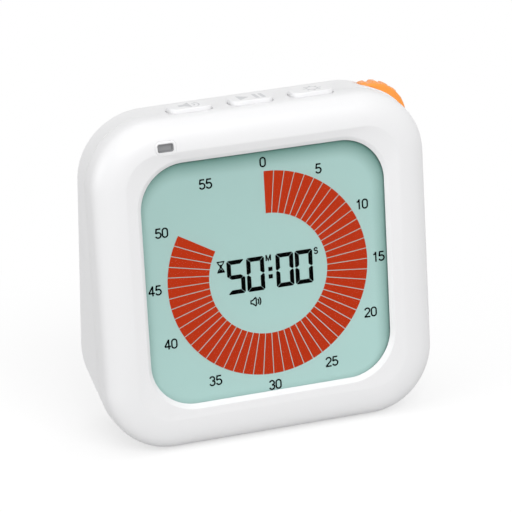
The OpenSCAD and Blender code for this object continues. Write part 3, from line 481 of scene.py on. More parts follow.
# Smoked polycarbonate, polished in its mould: a mid grey that is glossier than the case.
smoke_lens = moulded("smoke_lens", "#929395", 0.22, 1.58, 0.5, 0.001)
bm = bmesh.new()
lens_steps = (
    (-0.5, 1.0), (-0.38, 0.98), (-0.31, 0.88), (-0.25, 0.28), (-0.18, 0.17), (-0.11, 0.14),
    (-0.04, 0.18), (-0.04, 3.4), (0.6, 3.4), (0.6, 4.2), (-0.04, 4.2), (-0.04, 7.9),
)
skin(bm, [lens_ring(bm, out, depth) for out, depth in lens_steps])
lens = place(as_object(bm), "indicator_window", "case", "smoke_lens", smoke_lens)
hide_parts("indicator_lens")


# ---- rear shell ----
# The rear half: a deep tray that narrows towards a leaning back, moulded in the same white ABS.
# It holds the battery bay with its door's ledge, the speaker grille, the wheel's slot and the posts.

lean = radians(8.5)
back_y, back_z = 14.2, 4.88
edge_r = 4.0
rear_half_w, rear_half_h = 44.96, 43.56
# each corner's radius at the parting line and on the back, and where the back's one is centred
rear_corners = (
    (16.5, 16.0, 27.36, 67.31), (17.5, 17.7, -25.25, 65.1),
    (17.5, 22.2, -21.16, 18.2), (17.5, 22.2, 21.16, 18.2),
)
out_of_back = Vector((0, cos(lean), sin(lean)))


def on_back(x, out, up):
    """A point in the frame of the leaning back: out of it, and up its slope."""
    y = back_y + out * cos(lean) - up * sin(lean)
    z = back_z + out * sin(lean) + up * cos(lean)
    return Vector((x, y, z))


def back_depth(z, at_foot):
    """The leaning wall's depth at a height, from its depth at the foot."""
    return at_foot - (z - back_z) * sin(lean) / cos(lean)


def back_ring(bm, inset, share, inward=0.0):
    """Runs from the parting line at -1 along straight walls to 0, then round the back's edge to 1."""
    def place(corner, turn):
        front_r, back_r, x, up = rear_corners[corner]
        side, rise = corner_signs[corner]
        start = Vector((
            side * (rear_half_w - front_r) + (front_r - inset) * cos(turn), part_y,
            mid_z + rise * (rear_half_h - front_r) + (front_r - inset) * sin(turn),
        ))
        along = Vector((cos(turn), -sin(lean) * sin(turn), cos(lean) * sin(turn)))
        middle = on_back(x, 0, up) + (back_r - edge_r) * along
        r = edge_r - inset
        a, b = along.dot(middle - start), out_of_back.dot(middle - start)
        first = atan2(b, a) - acos(-r / hypot(a, b))
        phi = first + (pi / 2 - first) * max(0, share)
        end = middle + r * (cos(phi) * along + sin(phi) * out_of_back) - inward * along
        return start.lerp(end, 1 + min(0, share))
    return ring(bm, place)


bm = bmesh.new()
rings = [back_ring(bm, 0, 1, 0.4)]
rings += [back_ring(bm, 0, share / 8) for share in range(8, -1, -1)]
rings += [back_ring(bm, 0, share) for share in (-0.03, -0.96)]


def rear_outline(bm, inset, y):
    """The rear shell's outline at the parting line, drawn in by an inset."""
    def place(corner, turn):
        (side, rise), r = corner_signs[corner], rear_corners[corner][0]
        x = side * (rear_half_w - r) + (r - inset) * cos(turn)
        z = rise * (rear_half_h - r) + (r - inset) * sin(turn)
        return x, y, mid_z + z
    return ring(bm, place)


for turn in (0, 30, 60, 90):
    a = radians(turn)
    rings.append(rear_outline(bm, rim_ease * (1 - cos(a)), part_y + rim_ease * (1 - sin(a)) + seam_gap))
tongue_steps = (
    (0.9, part_y + 0.05), (1.1, part_y), (1.1, part_y - 1.4),
    (1.3, part_y - 1.6), (shell_wall, part_y - 1.6),
)
for inset, y in tongue_steps:
    rings.append(rear_outline(bm, inset, y))
rings += [back_ring(bm, shell_wall, share) for share in (-1, -0.03, 0, 0.25, 0.5, 0.75, 1)]
rings.append(back_ring(bm, shell_wall, 1, 0.4))
skin(bm, rings)
rear = as_object(bm)


def back_ring_at(bm, half, r, out, middle):
    """A rounded rectangle that lies flat on the back's slope."""
    return rounded_ring(bm, *half, r, lambda x, up: on_back(middle[0] + x, out, middle[1] + up))


def back_block(bm, half, r, out_low, out_high, middle):
    """A rounded block on the back's slope, between two heights out of it."""
    skin(bm, [back_ring_at(bm, half, r, out, middle) for out in (out_low, out_high)])


# the battery bay's walls, the speaker's ring and the posts
bay_mid = (0, 19.85)
bay_outside, bay_inside = (26.65, 17.95), (25.45, 16.75)
speaker_x, speaker_up = -13.0, 51.1
speaker_ring_r, speaker_room_r = 11.35, 10.15
bm = bmesh.new()
back_block(bm, bay_outside, 0.6, -10.35, 3, bay_mid)
speaker_foot, speaker_head = on_back(speaker_x, -1.1, speaker_up), on_back(speaker_x, 3, speaker_up)
pin(bm, speaker_foot, speaker_head, speaker_ring_r, segments=64)
combine(rear, bm, "UNION")
case_post_r, case_hole_r = 3.1, 1.4
small_hole_r = 0.95
key_post_xs, key_post_y = (-key_pitch / 2, key_pitch / 2), -2.3
encoder_spots = ((22.0, mid_z + 33.1), (35.1, mid_z + 20.0))
bm = bmesh.new()
for x, z in case_screw_spots:
    pin(bm, (x, part_y, z), (x, back_depth(z, 17.6), z), case_post_r)
for x in key_post_xs:
    pin(bm, (x, key_post_y, 81.45), (x, key_post_y, 86.4), small_boss_r)
for x, z in encoder_spots:
    pin(bm, (x, 3.85, z), (x, back_depth(z, 17.4), z), small_boss_r)
combine(rear, bm, "UNION")

# the bay's room, the door's ledge, the hooks' pockets and the slots of the cell contacts
door_half, door_corner = (26.55, 17.85), 2.5
ledge_steps = ((0.25, 2.15), (0.25, 3.75), (0.33, 3.92), (0.6, 4.15))
hook_x, slot_x = 13.275, 26.05
lowest_cell, cell_pitch = 8.85, 11
bm = bmesh.new()
back_block(bm, bay_inside, 0.4, -9.15, 5, bay_mid)
combine(rear, bm, "DIFFERENCE")
bm = bmesh.new()
ledge = []
for extra, out in ledge_steps:
    half = (door_half[0] + extra, door_half[1] + extra)
    ledge.append(back_ring_at(bm, half, door_corner + extra, out, bay_mid))
skin(bm, ledge)
combine(rear, bm, "DIFFERENCE")
bm = bmesh.new()
for side in (-1, 1):
    back_block(bm, (3.8, 2.3), 0.2, -0.503, 2.5, (side * hook_x, 1.9))
    for k in range(3):
        back_block(bm, (0.75, 1.6), 0.1, -4.1, -3.1, (side * slot_x, lowest_cell + cell_pitch * k))
combine(rear, bm, "DIFFERENCE")
bm = bmesh.new()
room_foot, room_head = on_back(speaker_x, -3, speaker_up), on_back(speaker_x, 2.03, speaker_up)
pin(bm, room_foot, room_head, speaker_room_r, segments=64)
combine(rear, bm, "DIFFERENCE")

# the wheel's slot, the keys' openings, the screws' recesses and the feet's seats
dial_x, dial_z = 35.1, 77.3
dial_slot_r, dial_slot_ys = 10.3, (-4.8, 1.0)
recess_r = 2.35
pad_spots = ((22.0, -4.0), (16.96, 10.2))
seat_r, seat_top = 4.12, 1.28
combine(rear, key_openings(), "DIFFERENCE")
bm = bmesh.new()
slot_ends = [(dial_x, y, dial_z) for y in dial_slot_ys]
pin(bm, *slot_ends, dial_slot_r, segments=96)
combine(rear, bm, "DIFFERENCE")
bm = bmesh.new()
for x, z in case_screw_spots:
    pin(bm, (x, part_y + 3, z), (x, 20, z), recess_r)
for x, y in pad_spots:
    for side in (-1, 1):
        pin(bm, (side * x, y, -1), (side * x, y, seat_top), seat_r, segments=48)
combine(rear, bm, "DIFFERENCE")
bm = bmesh.new()
for x, z in case_screw_spots:
    pin(bm, (x, part_y - 1, z), (x, part_y + 4, z), case_hole_r)
for x in key_post_xs:
    pin(bm, (x, key_post_y, 80), (x, key_post_y, 84.9), small_hole_r)
for x, z in encoder_spots:
    pin(bm, (x, 3, z), (x, 5.6, z), small_hole_r)
combine(rear, bm, "DIFFERENCE")

# the grille: a hole and three rings of holes, each with an eased mouth
grille_pitch, grille_r, grille_mouth_r = 2.6, 0.75, 1.05
grille = [(0, 0)] + [(grille_pitch * n, 60 * k / n) for n in (1, 2, 3) for k in range(6 * n)]
for low, high, end_r in ((0, 3.88, grille_r), (3.8, 4.1, grille_mouth_r)):
    bm = bmesh.new()
    for reach, angle in grille:
        x = speaker_x + reach * cos(radians(angle))
        up = speaker_up + reach * sin(radians(angle))
        pin(bm, on_back(x, low, up), on_back(x, high, up), grille_r, end_r, segments=24)
    combine(rear, bm, "DIFFERENCE")
place(rear, "rear_cover", "case", "white_abs", white_abs, sharp=28)
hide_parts("rear_shell")


# ---- keys ----
# Three slim caps in white ABS, a little glossier than the case. Each has a flange under the
# roof that keeps it in, softly rounded top edges and a faint grey symbol printed on it.

# White ABS from a polished tool, which gives a clearer shine than the case's, and a matt pad print.
key_abs = moulded("key_abs", "#EFEFF0", 0.3, 1.54, 0.35, 0.0015)
key_ink = moulded("key_ink", "#D5D6D8", 0.5, 1.5, 0.2, 0.002)
key_top = 88.97
key_edge = 0.34
cap_fit = 0.06
print_rise, print_thick = 0.02, 0.1


def plate(bm, points, at, thick):
    """A thin flat shape from its corners in turn. at(a, b, t) places a corner, t behind its front."""
    rings = []
    for t in (0, thick):
        verts = bmesh.ops.create_circle(bm, segments=len(points), radius=1)["verts"]
        for vert, (a, b) in zip(verts, points):
            vert.co = at(a, b, t)
        rings.append(verts)
    skin(bm, rings)


def stroke(points, width):
    """The outline of a line of even width along points, mitred at its bends."""
    left, right = [], []
    for i, here in enumerate(points):
        here = Vector(here)
        near = points[max(0, i - 1):i + 2]
        ways = [(Vector(b) - Vector(a)).normalized() for a, b in zip(near, near[1:])]
        way = sum(ways, Vector((0, 0))).normalized()
        reach = width / 2 / max(0.5, way.dot(ways[0]))
        side = Vector((-way.y, way.x)) * reach
        left.append(tuple(here + side))
        right.append(tuple(here - side))
    return left + right[::-1]


def arc(x, y, r, start, end, steps=10):
    """Points along a part of a circle, between two angles in degrees."""
    turns = [radians(start + (end - start) * i / steps) for i in range(steps + 1)]
    return [(x + r * cos(t), y + r * sin(t)) for t in turns]


# a loudspeaker with two waves, a play triangle with two pause bars, and a sun with eight rays
horn = [[(-2.8, 0.8), (-1.45, 0.8), (0.25, 2.5), (0.25, -2.5), (-1.45, -0.8), (-2.8, -0.8)]]
waves = [stroke(arc(0.0, 0, r, -48, 48), 0.42) for r in (1.45, 2.6)]
play = [[(-3.25, 2.3), (-3.25, -2.15), (-0.35, 0.05)]]
pause = [[(x, 2.2), (x, -2.1), (x + 0.98, -2.1), (x + 0.98, 2.2)] for x in (1.05, 2.72)]
sun_x, sun_y = 0.6, 0.3
sun = [stroke(arc(sun_x, sun_y, 1.45, half, half + 180, 24), 0.44) for half in (0, 180)]
for eighth in range(8):
    t = eighth * pi / 4
    sun.append(stroke([(sun_x + r * cos(t), sun_y + r * sin(t)) for r in (1.75, 2.45)], 0.52))

cap_profile = [(0.7, 84.27), (0.7, 85.0), (0.63, 85.07), (cap_fit, 85.07), (cap_fit, 88.0)]
for turn in range(0, 91, 18):
    a = radians(turn)
    cap_profile.append((cap_fit - key_edge * (1 - cos(a)), key_top - key_edge * (1 - sin(a))))
cap_profile.append((-0.6, key_top))

for k, name, symbol in ((-1, "sound", horn + waves), (0, "start", play + pause), (1, "light", sun)):
    bm = bmesh.new()
    skin(bm, [key_ring(bm, k, extra, z) for extra, z in cap_profile])
    cap = place(as_object(bm), name + "_keycap", name + "_button", "white_key", key_abs)
    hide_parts(name + "_key")
    mid_x, front_of_print = key_mid_x + k * key_pitch, key_top + print_rise
    bm = bmesh.new()
    for points in symbol:
        plate(bm, points, lambda a, b, t: (mid_x + a, key_y + b, front_of_print - t), print_thick)
    place(as_object(bm), name + "_symbol", name + "_button", "white_key", key_ink)


# ---- wheel ----
# A thumb wheel in orange ABS with twenty soft lobes, which stands out of the case's upper
# right corner. Its front band is plain, and both rims are round.

# Orange ABS, mass coloured and smoothly moulded: a strong even colour with a soft shine.
orange_abs = moulded("orange_abs", "#FF9E3C", 0.28, 1.54, 0.35, 0.002)
wheel_r, wheel_t, wheel_front = 9.9, 5.0, -4.4
wheel_bore = 2.2
back_round, front_round = 1.25, 0.55
lobes = 20
notch_r, notch_depth = 0.95, 0.5
band_w, band_fade, band_drop = 0.9, 0.6, 0.28


def wheel_reach(turn, back):
    """The wheel's radius at an angle from straight up, and at a distance from its back face."""
    away = abs((turn + pi / lobes) % (tau / lobes) - pi / lobes)
    middle = wheel_r - notch_depth + notch_r
    across = middle * sin(away)
    dip = 0
    if abs(across) < notch_r:
        dip = wheel_r - (middle * cos(away) - sqrt(notch_r ** 2 - across ** 2))
    fade = min(1, max(0, (wheel_t - band_w - back) / band_fade))
    fade = fade * fade * (3 - 2 * fade)
    return wheel_r - max(0, dip) * fade - band_drop * (1 - fade)


bm = bmesh.new()
rows = [(wheel_bore, 0.0), (wheel_r - back_round, 0.0)]
for turn in range(15, 91, 15):
    a = radians(turn)
    rows.append((wheel_r - back_round * (1 - sin(a)), back_round * (1 - cos(a))))
rows += [(wheel_r, back) for back in (1.8, 2.6, 3.4, 3.55, 3.7, 3.85, 4.0, 4.15)]
for turn in range(90, -1, -15):
    a = radians(turn)
    rows.append((wheel_r - front_round * (1 - sin(a)), wheel_t - front_round * (1 - cos(a))))
rows += [(wheel_bore, wheel_t)]
count = lobes * 12
rings = []
for r, back in rows:
    verts = bmesh.ops.create_circle(bm, segments=count, radius=1)["verts"]
    for i, vert in enumerate(verts):
        turn = tau * i / count
        reach = r if r == wheel_bore else r - (wheel_r - wheel_reach(turn, back))
        y = wheel_front + wheel_t - back
        vert.co = (dial_x + reach * sin(turn), y, dial_z + reach * cos(turn))
    rings.append(verts)
skin(bm, rings, closed=True)
wheel = place(as_object(bm), "lobed_wheel", "dial", "orange_abs", orange_abs, sharp=50)
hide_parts("thumb_wheel")


# ---- display ----
# A segment display behind a clear sheet: a teal film with a ring of fifty red minute bars,
# black digits, numbers from 0 to 55 round the ring and small unit and function signs.


def printed(name, colour, roughness=0.55, mottle=0.02, mottle_mm=9):
    """A matt print or film: almost no gloss of its own, and a slightly uneven shade."""
    made, tree, spot = new_material(name)
    cloud = node(
        tree, "ShaderNodeTexNoise", {"Vector": spot, "Scale": 1 / (mottle_mm * MM), "Detail": 2.0}
    )
    level = node(tree, "ShaderNodeMapRange", {0: cloud.outputs["Fac"], 3: 1 - mottle, 4: 1 + mottle})
    shade = node(tree, "ShaderNodeHueSaturation", {"Color": linear(colour), "Value": level.outputs[0]})
    return finish(made, node(tree, "ShaderNodeBsdfPrincipled", {
        "Base Color": shade.outputs[0], "Roughness": roughness, "Specular IOR Level": 0.0,
    }))


def teal_film_look():
    """A matt bluish teal with painted shade: a painted tone that is darker towards the top left and
    paler towards its foot, and a painted shadow that is darkest under the window's top edge.
    """
    made, tree, spot = new_material("teal_film")
    shade_r = window_r + 2
    straight = ((window_half[0] + 2.2 - shade_r) * MM, 0, (window_half[1] + 2.6 - shade_r) * MM)
    centred = node(tree, "ShaderNodeVectorMath", {0: spot, 1: (0, 0, -mid_z * MM)}, operation="ADD")
    flat = node(
        tree, "ShaderNodeVectorMath", {0: centred.outputs[0], 1: (1, 0, 1)}, operation="MULTIPLY"
    )
    drift = node(
        tree, "ShaderNodeVectorMath", {0: flat.outputs[0], 1: (0.5, 0, -1)}, operation="DOT_PRODUCT"
    )
    # painted light and shade: the film's tone is darker towards the top left and paler towards the foot
    # and the right
    lit = node(tree, "ShaderNodeMapRange", {0: drift.outputs["Value"], 1: -0.034, 2: 0.030})
    tone = node(
        tree, "ShaderNodeMix", {0: lit.outputs[0], 6: linear("#B3D1CC"), 7: linear("#BFDFDA")},
        data_type="RGBA",
    )
    # how far a point lies inside a rounded outline that touches the window's top edge; it sets a
    # painted shadow, strongest under the top edge, weaker at the right, faint at the left and none at
    # the foot
    nil = (0, 0, 0)
    reach = flat
    for operation, value in (
        ("ADD", (0.0007, 0, 0.0026)), ("ABSOLUTE", nil), ("SUBTRACT", straight), ("MAXIMUM", nil),
        ("LENGTH", nil),
    ):
        reach = node(
            tree, "ShaderNodeVectorMath", {0: reach.outputs[0], 1: value}, operation=operation
        )
    near = node(
        tree, "ShaderNodeMapRange",
        {0: reach.outputs["Value"], 1: (shade_r - 5.2) * MM, 2: shade_r * MM},
    )
    curve = node(tree, "ShaderNodeMath", {0: near.outputs[0], 1: 1.45}, operation="POWER")
    # painted shadow: the tone darkens to a deep teal near the window's edges
    colour = node(
        tree, "ShaderNodeMix", {0: curve.outputs[0], 6: tone.outputs[2], 7: linear("#608A80")},
        data_type="RGBA",
    )
    return finish(made, node(tree, "ShaderNodeBsdfPrincipled", {
        "Base Color": colour.outputs[2], "Roughness": 0.6, "Specular IOR Level": 0.0,
    }))


def clear_look(name, ior, tint):
    """A thin clear sheet: it lets light straight through and mirrors a little by its angle."""
    made, tree, spot = new_material(name)
    haze = node(tree, "ShaderNodeTexNoise", {"Vector": spot, "Scale": 1 / (20 * MM), "Detail": 2.0})
    gloss = node(tree, "ShaderNodeMapRange", {0: haze.outputs["Fac"], 3: 0.06, 4: 0.14})
    through = node(tree, "ShaderNodeBsdfTransparent", {"Color": linear(tint)})
    mirror = node(tree, "ShaderNodeBsdfGlossy", {"Color": (1, 1, 1, 1), "Roughness": gloss.outputs[0]})
    share = node(tree, "ShaderNodeFresnel", {"IOR": ior})
    return finish(made, node(
        tree, "ShaderNodeMixShader", {0: share.outputs[0], 1: through.outputs[0], 2: mirror.outputs[0]}
    ))


# The ring and the figures lie in the display under its glass: flat, sharp and without gloss.
red_ink = printed("red_ink", "#C63A1B")
black_ink = printed("black_ink", "#030404")
show_x, show_z = 0.32, -0.21
ink_depth, ink_thick = 2.15, 0.04


def on_display(x, z, t=0.0):
    return x + show_x, face_y + ink_depth + t, mid_z + z + show_z


def ink(bm, points, x=0, z=0):
    """Prints a flat shape on the display, moved to a place."""
    plate(bm, [(x + a, z + b) for a, b in points], on_display, ink_thick)


ring_mid = (0.02, -0.33)
ring_inner, ring_outer = 16.11, 27.25
half_gap, minutes_left = 0.10, 50
bm = bmesh.new()
for minute in range(minutes_left):
    points = []
    for r, steps in ((ring_inner, (0, 1, 2, 3)), (ring_outer, (3, 2, 1, 0))):
        gap = atan2(half_gap, r)
        for step in steps:
            turn = radians(6 * minute) + gap + (radians(6) - 2 * gap) * step / 3
            points.append((ring_mid[0] + r * sin(turn), ring_mid[1] + r * cos(turn)))
    ink(bm, points)
minute_ring = place(as_object(bm), "minute_ring", "case", "red_ink", red_ink)
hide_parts("display_segments")

# the bars of a digit, from its middle: two long sides, three cross bars
half_digit, digit_rise, bar, cut_corner, seam = 2.42, 4.56, 1.13, 0.42, 0.06
top_bar = [
    (-half_digit + cut_corner, digit_rise), (half_digit - cut_corner, digit_rise),
    (half_digit - cut_corner / 2 - seam, digit_rise - cut_corner / 2),
    (half_digit - bar - seam, digit_rise - bar), (-half_digit + bar + seam, digit_rise - bar),
    (-half_digit + cut_corner / 2 + seam, digit_rise - cut_corner / 2),
]
side_bar = [
    (half_digit, digit_rise - cut_corner), (half_digit, 0.34),
    (half_digit - 0.3, 0.09), (half_digit - 0.46, 0.09),
    (half_digit - bar, 0.62), (half_digit - bar, digit_rise - bar - seam),
    (half_digit - cut_corner / 2, digit_rise - cut_corner / 2 - seam),
]
middle_bar = [
    (-half_digit + 0.5, 0.03), (-half_digit + bar + 0.02, bar / 2), (half_digit - bar - 0.02, bar / 2),
    (half_digit - 0.5, 0.03), (half_digit - bar - 0.02, -bar / 2), (-half_digit + bar + 0.02, -bar / 2),
]
turned = {
    "top": (top_bar, 1, 1), "bottom": (top_bar, 1, -1), "middle": (middle_bar, 1, 1),
    "upper_right": (side_bar, 1, 1), "lower_right": (side_bar, 1, -1),
    "upper_left": (side_bar, -1, 1), "lower_left": (side_bar, -1, -1),
}
five = ("top", "upper_left", "middle", "lower_right", "bottom")
nought = ("top", "bottom", "upper_right", "lower_right", "upper_left", "lower_left")
digit_mid_z = 0.02
colon_x, colon_zs, half_dot = 0.57, (0.78, -1.21), 0.56
bm = bmesh.new()
for x, bars in ((-8.79, five), (-3.46, nought), (4.51, nought), (9.77, nought)):
    for name in bars:
        points, across, up = turned[name]
        ink(bm, [(across * a, up * b) for a, b in points], x, digit_mid_z)
for z in colon_zs:
    ink(bm, [(half_dot * a, half_dot * b) for a, b in corner_signs], colon_x, z)

# the hourglass: a frame that is the same above and below, sand in the neck and at the foot
glass_x, glass_z = -12.75, 3.26
glass_half = (
    stroke([(-1.05, 1.38), (1.05, 1.38)], 0.34),
    stroke([(-0.78, 1.4), (-0.7, 0.95), (-0.16, 0.24), (-0.16, 0)], 0.3),
    stroke([(0.78, 1.4), (0.7, 0.95), (0.16, 0.24), (0.16, 0)], 0.3),
)
for up in (1, -1):
    for points in glass_half:
        ink(bm, [(a, up * b) for a, b in points], glass_x, glass_z)
ink(bm, ((-0.5, 0.62), (0.5, 0.62), (0.05, 0.05), (-0.05, 0.05)), glass_x, glass_z)
ink(bm, ((-0.78, -1.3), (0.78, -1.3), (0, -0.5)), glass_x, glass_z)

# a small loudspeaker's outline with two waves
loud_x, loud_z, loud_line = -3.65, -7.39, 0.36
half_horn = [(-1.55, 0), (-1.5, 0.4), (-1.05, 0.45), (-0.25, 1.1), (-0.08, 0.9), (-0.08, 0)]
loudspeaker = [stroke([(a, side * b) for a, b in half_horn], loud_line) for side in (1, -1)]
loudspeaker += [stroke(arc(-0.45, 0, r, -40, 40), loud_line) for r in (1.05, 1.6)]
for points in loudspeaker:
    ink(bm, points, loud_x, loud_z)


# plain figures and letters drawn as strokes, in a box one high and centred on the origin
figures = {
    "0": [
        arc(0, 0.19, 0.25, 0, 180, 12), [(-0.25, 0.19), (-0.25, -0.19)],
        arc(0, -0.19, 0.25, 180, 360, 12), [(0.25, -0.19), (0.25, 0.19)],
    ],
    "1": [[(-0.16, 0.24), (0.0, 0.3), (0.09, 0.5)], [(0.09, 0.5), (0.09, -0.5)]],
    "2": [
        arc(0, 0.2, 0.25, 170, -35, 12) + [(-0.24, -0.4), (-0.26, -0.445)],
        [(-0.3, -0.445), (0.3, -0.445)],
    ],
    "3": [arc(0, 0.21, 0.235, 165, -90, 12), arc(0, -0.2, 0.25, 90, -165, 12)],
    "4": [[(0.12, -0.5), (0.12, 0.5)], [(0.12, 0.46), (-0.27, -0.2)], [(-0.3, -0.22), (0.32, -0.22)]],
    "5": [[(0.25, 0.445), (-0.17, 0.445), (-0.235, 0.0)], arc(0, -0.17, 0.27, 140, -160, 14)],
    "M": [
        [(-0.36, -0.5), (-0.36, 0.5)], [(-0.36, 0.48), (0, -0.42), (0.36, 0.48)],
        [(0.36, 0.5), (0.36, -0.5)],
    ],
    "S": [arc(0, 0.22, 0.25, 15, 250, 14) + arc(0, -0.22, 0.26, 70, -165, 14)],
}


figure_pitch = 0.68


def figure(bm, text, x, z, height, weight=0.15):
    """Adds a number or letter to the display, centred on a place."""
    for i, sign in enumerate(text):
        shift = (i - (len(text) - 1) / 2) * figure_pitch
        for line in figures[sign]:
            outline = stroke(line, weight)
            ink(bm, [(height * (a + shift), height * b) for a, b in outline], x, z)


# where the numbers 0 to 55 stand, clockwise from the top
number_height = 2.66
number_spots = (
    (0.2, 29.35), (15.13, 25.58), (26.54, 14.45), (30.51, -0.32),
    (27.74, -15.12), (16.33, -26.95), (0.4, -30.69), (-15.79, -26.96),
    (-27.16, -15.17), (-30.49, -0.36), (-27.77, 14.56), (-15.39, 25.74),
)
for i, (x, z) in enumerate(number_spots):
    figure(bm, str(5 * i), x - 0.17, z, number_height)
figure(bm, "M", 0.15, 3.86, 1.6, 0.23)
figure(bm, "S", 13.2, 3.85, 1.66, 0.2)
digits = place(as_object(bm), "digits_and_numbers", "case", "black_epoxy", black_ink)
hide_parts("display_segments")


def dress(name, *materials):
    """Gives a solid from the frame its materials, one for each of its slots."""
    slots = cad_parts[name].material_slots
    for slot, material in zip(slots, list(materials) * len(slots)):
        slot.material = material


dress("display_front_film", teal_film_look())
dress("window_lens", clear_look("clear_sheet", 1.07, "#FDFEFE"))


# ---- display stack and backlight ----
# Two panes of glass between films, a light guide lit by a row of small lamps along its top, and
# a white frame that clips them together in front of the main board.

# Float glass with a faint green in it, a grey-green rear film and matt white polyester sheets.
display_glass = clear_look("display_glass", 1.45, "#F4FAF7")
dress("display_front_glass", display_glass)
dress("display_rear_glass", display_glass)
dress("display_rear_film", printed("rear_film", "#9DBDB6", 0.4))
diffuser_film = printed("diffuser_film", "#F1F2EE", 0.6, 0.015, 4)
dress("backlight_diffuser", diffuser_film)
dress("backlight_reflector", diffuser_film)

frame_half, frame_inner = (35.35, 35.85), (34.27, 34.77)
frame_steps = (
    ((35.15, 35.65), 2.4, 2.15), (frame_half, 2.5, 2.35), (frame_half, 2.5, 6.7),
    (frame_inner, 1.3, 6.7), (frame_inner, 1.3, 2.3), ((34.4, 34.9), 1.4, 2.15),
)
bm = bmesh.new()
skin(bm, [flat_ring(bm, *half, r, depth, frame_mid) for half, r, depth in frame_steps], closed=True)
# Glass-filled polycarbonate: a slightly dull white with a fine texture.
white_frame = moulded("white_frame", "#E9EAE8", 0.45, 1.58, 0.4, 0.004)
bezel = place(as_object(bm), "display_bezel", "case", "white_frame", white_frame)
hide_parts("display_frame")


def dotted(name, ground, dot_colour, pitch_mm, share, roughness, ior):
    """A plastic with a grid of small round printed dots, each filling a share of its cell."""
    made, tree, spot = new_material(name)
    cells = node(
        tree, "ShaderNodeTexVoronoi", {"Vector": spot, "Scale": 1 / (pitch_mm * MM), "Randomness": 0.0}
    )
    dot = node(
        tree, "ShaderNodeMapRange",
        {0: cells.outputs["Distance"], 1: share, 2: share + 0.08, 3: 1.0, 4: 0.0},
    )
    colour = node(
        tree, "ShaderNodeMix", {0: dot.outputs[0], 6: linear(ground), 7: linear(dot_colour)},
        data_type="RGBA",
    )
    return finish(made, node(tree, "ShaderNodeBsdfPrincipled", {
        "Base Color": colour.outputs[2], "Roughness": roughness, "IOR": ior,
    }))


# Cast acrylic with white dots that scatter the light out of its face.
dress("backlight_guide", dotted("light_guide", "#DDE8E6", "#FBFCFB", 1.2, 0.3, 0.12, 1.49))


def striped(name, colours, pitch_mm, share, roughness, ior):
    """A ribbon or rubber with fine even stripes of a second colour."""
    made, tree, spot = new_material(name)
    place = node(tree, "ShaderNodeSeparateXYZ", {0: spot})
    pitch = pitch_mm * MM
    cell = node(tree, "ShaderNodeMath", {0: place.outputs["X"], 1: pitch, 2: 0.0}, operation="WRAP")
    line = node(tree, "ShaderNodeMath", {0: cell.outputs[0], 1: pitch * share}, operation="LESS_THAN")
    colour = node(
        tree, "ShaderNodeMix", {0: line.outputs[0], 6: linear(colours[0]), 7: linear(colours[1])},
        data_type="RGBA",
    )
    return finish(made, node(tree, "ShaderNodeBsdfPrincipled", {
        "Base Color": colour.outputs[2], "Roughness": roughness, "IOR": ior,
    }))


# Silicone strip of carbon and clear layers that joins the glass to the board: fine dark stripes.
dress("contact_strip", striped("zebra_strip", ("#1A1A1B", "#5B4A4C"), 0.6, 0.4, 0.5, 1.43))


def led_look():
    """A small white lamp body with flecks of yellow phosphor scattered over it."""
    made, tree, spot = new_material("led_body")
    cloud = node(tree, "ShaderNodeTexNoise", {"Vector": spot, "Scale": 1 / (0.8 * MM), "Detail": 1.0})
    fleck = node(tree, "ShaderNodeMapRange", {0: cloud.outputs["Fac"], 1: 0.5, 2: 0.62})
    colour = node(
        tree, "ShaderNodeMix", {0: fleck.outputs[0], 6: linear("#F2F1EA"), 7: linear("#E9D98A")},
        data_type="RGBA",
    )
    return finish(made, node(tree, "ShaderNodeBsdfPrincipled", {
        "Base Color": colour.outputs[2], "Roughness": 0.35, "IOR": 1.54,
    }))


led_body = led_look()
dress("backlight_leds", led_body)


# ---- main board ----
# A green glass-epoxy board on four bosses, with the controller under a black moulded case, small
# ceramic parts, the indicator's lamp and four ivory wire connectors.


def board_look():
    """Green solder mask on glass cloth: paler lines of copper under it, and a faint weave."""
    made, tree, spot = new_material("green_board")
    tracks = node(tree, "ShaderNodeTexBrick", {
        "Vector": node(tree, "ShaderNodeMapping", {0: spot, 2: (pi / 2, 0, 0)}).outputs[0],
        "Color1": linear("#1E6E41"), "Color2": linear("#1B663B"), "Mortar": linear("#2F8652"),
        "Scale": 1 / MM, "Mortar Size": 0.18, "Mortar Smooth": 0.1,
        "Brick Width": 5.2, "Row Height": 1.3,
    })
    weave = node(tree, "ShaderNodeTexNoise", {"Vector": spot, "Scale": 1 / (0.5 * MM), "Detail": 2.0})
    bump = node(
        tree, "ShaderNodeBump", {"Height": weave.outputs["Fac"], "Strength": 0.4, "Distance": 0.01 * MM}
    )
    return finish(made, node(tree, "ShaderNodeBsdfPrincipled", {
        "Base Color": tracks.outputs["Color"], "Roughness": 0.32, "IOR": 1.5, "Normal": bump.outputs[0],
    }))


green_board = board_look()
dress("main_board", green_board)


def metal(name, colour, roughness, mark_mm, stretch=(1, 1, 1), uneven=0.06):
    """A plated or bare metal with fine marks, drawn out one way where it was rolled or turned."""
    made, tree, spot = new_material(name)
    drawn = node(tree, "ShaderNodeMapping", {0: spot, 3: stretch})
    marks = node(
        tree, "ShaderNodeTexNoise",
        {"Vector": drawn.outputs[0], "Scale": 1 / (mark_mm * MM), "Detail": 3.0},
    )
    gloss = node(
        tree, "ShaderNodeMapRange",
        {0: marks.outputs["Fac"], 3: roughness - uneven, 4: roughness + uneven},
    )
    bump = node(
        tree, "ShaderNodeBump",
        {"Height": marks.outputs["Fac"], "Strength": 0.25, "Distance": 0.004 * MM},
    )
    return finish(made, node(tree, "ShaderNodeBsdfPrincipled", {
        "Base Color": linear(colour), "Metallic": 1.0,
        "Roughness": gloss.outputs[0], "Normal": bump.outputs[0],
    }))


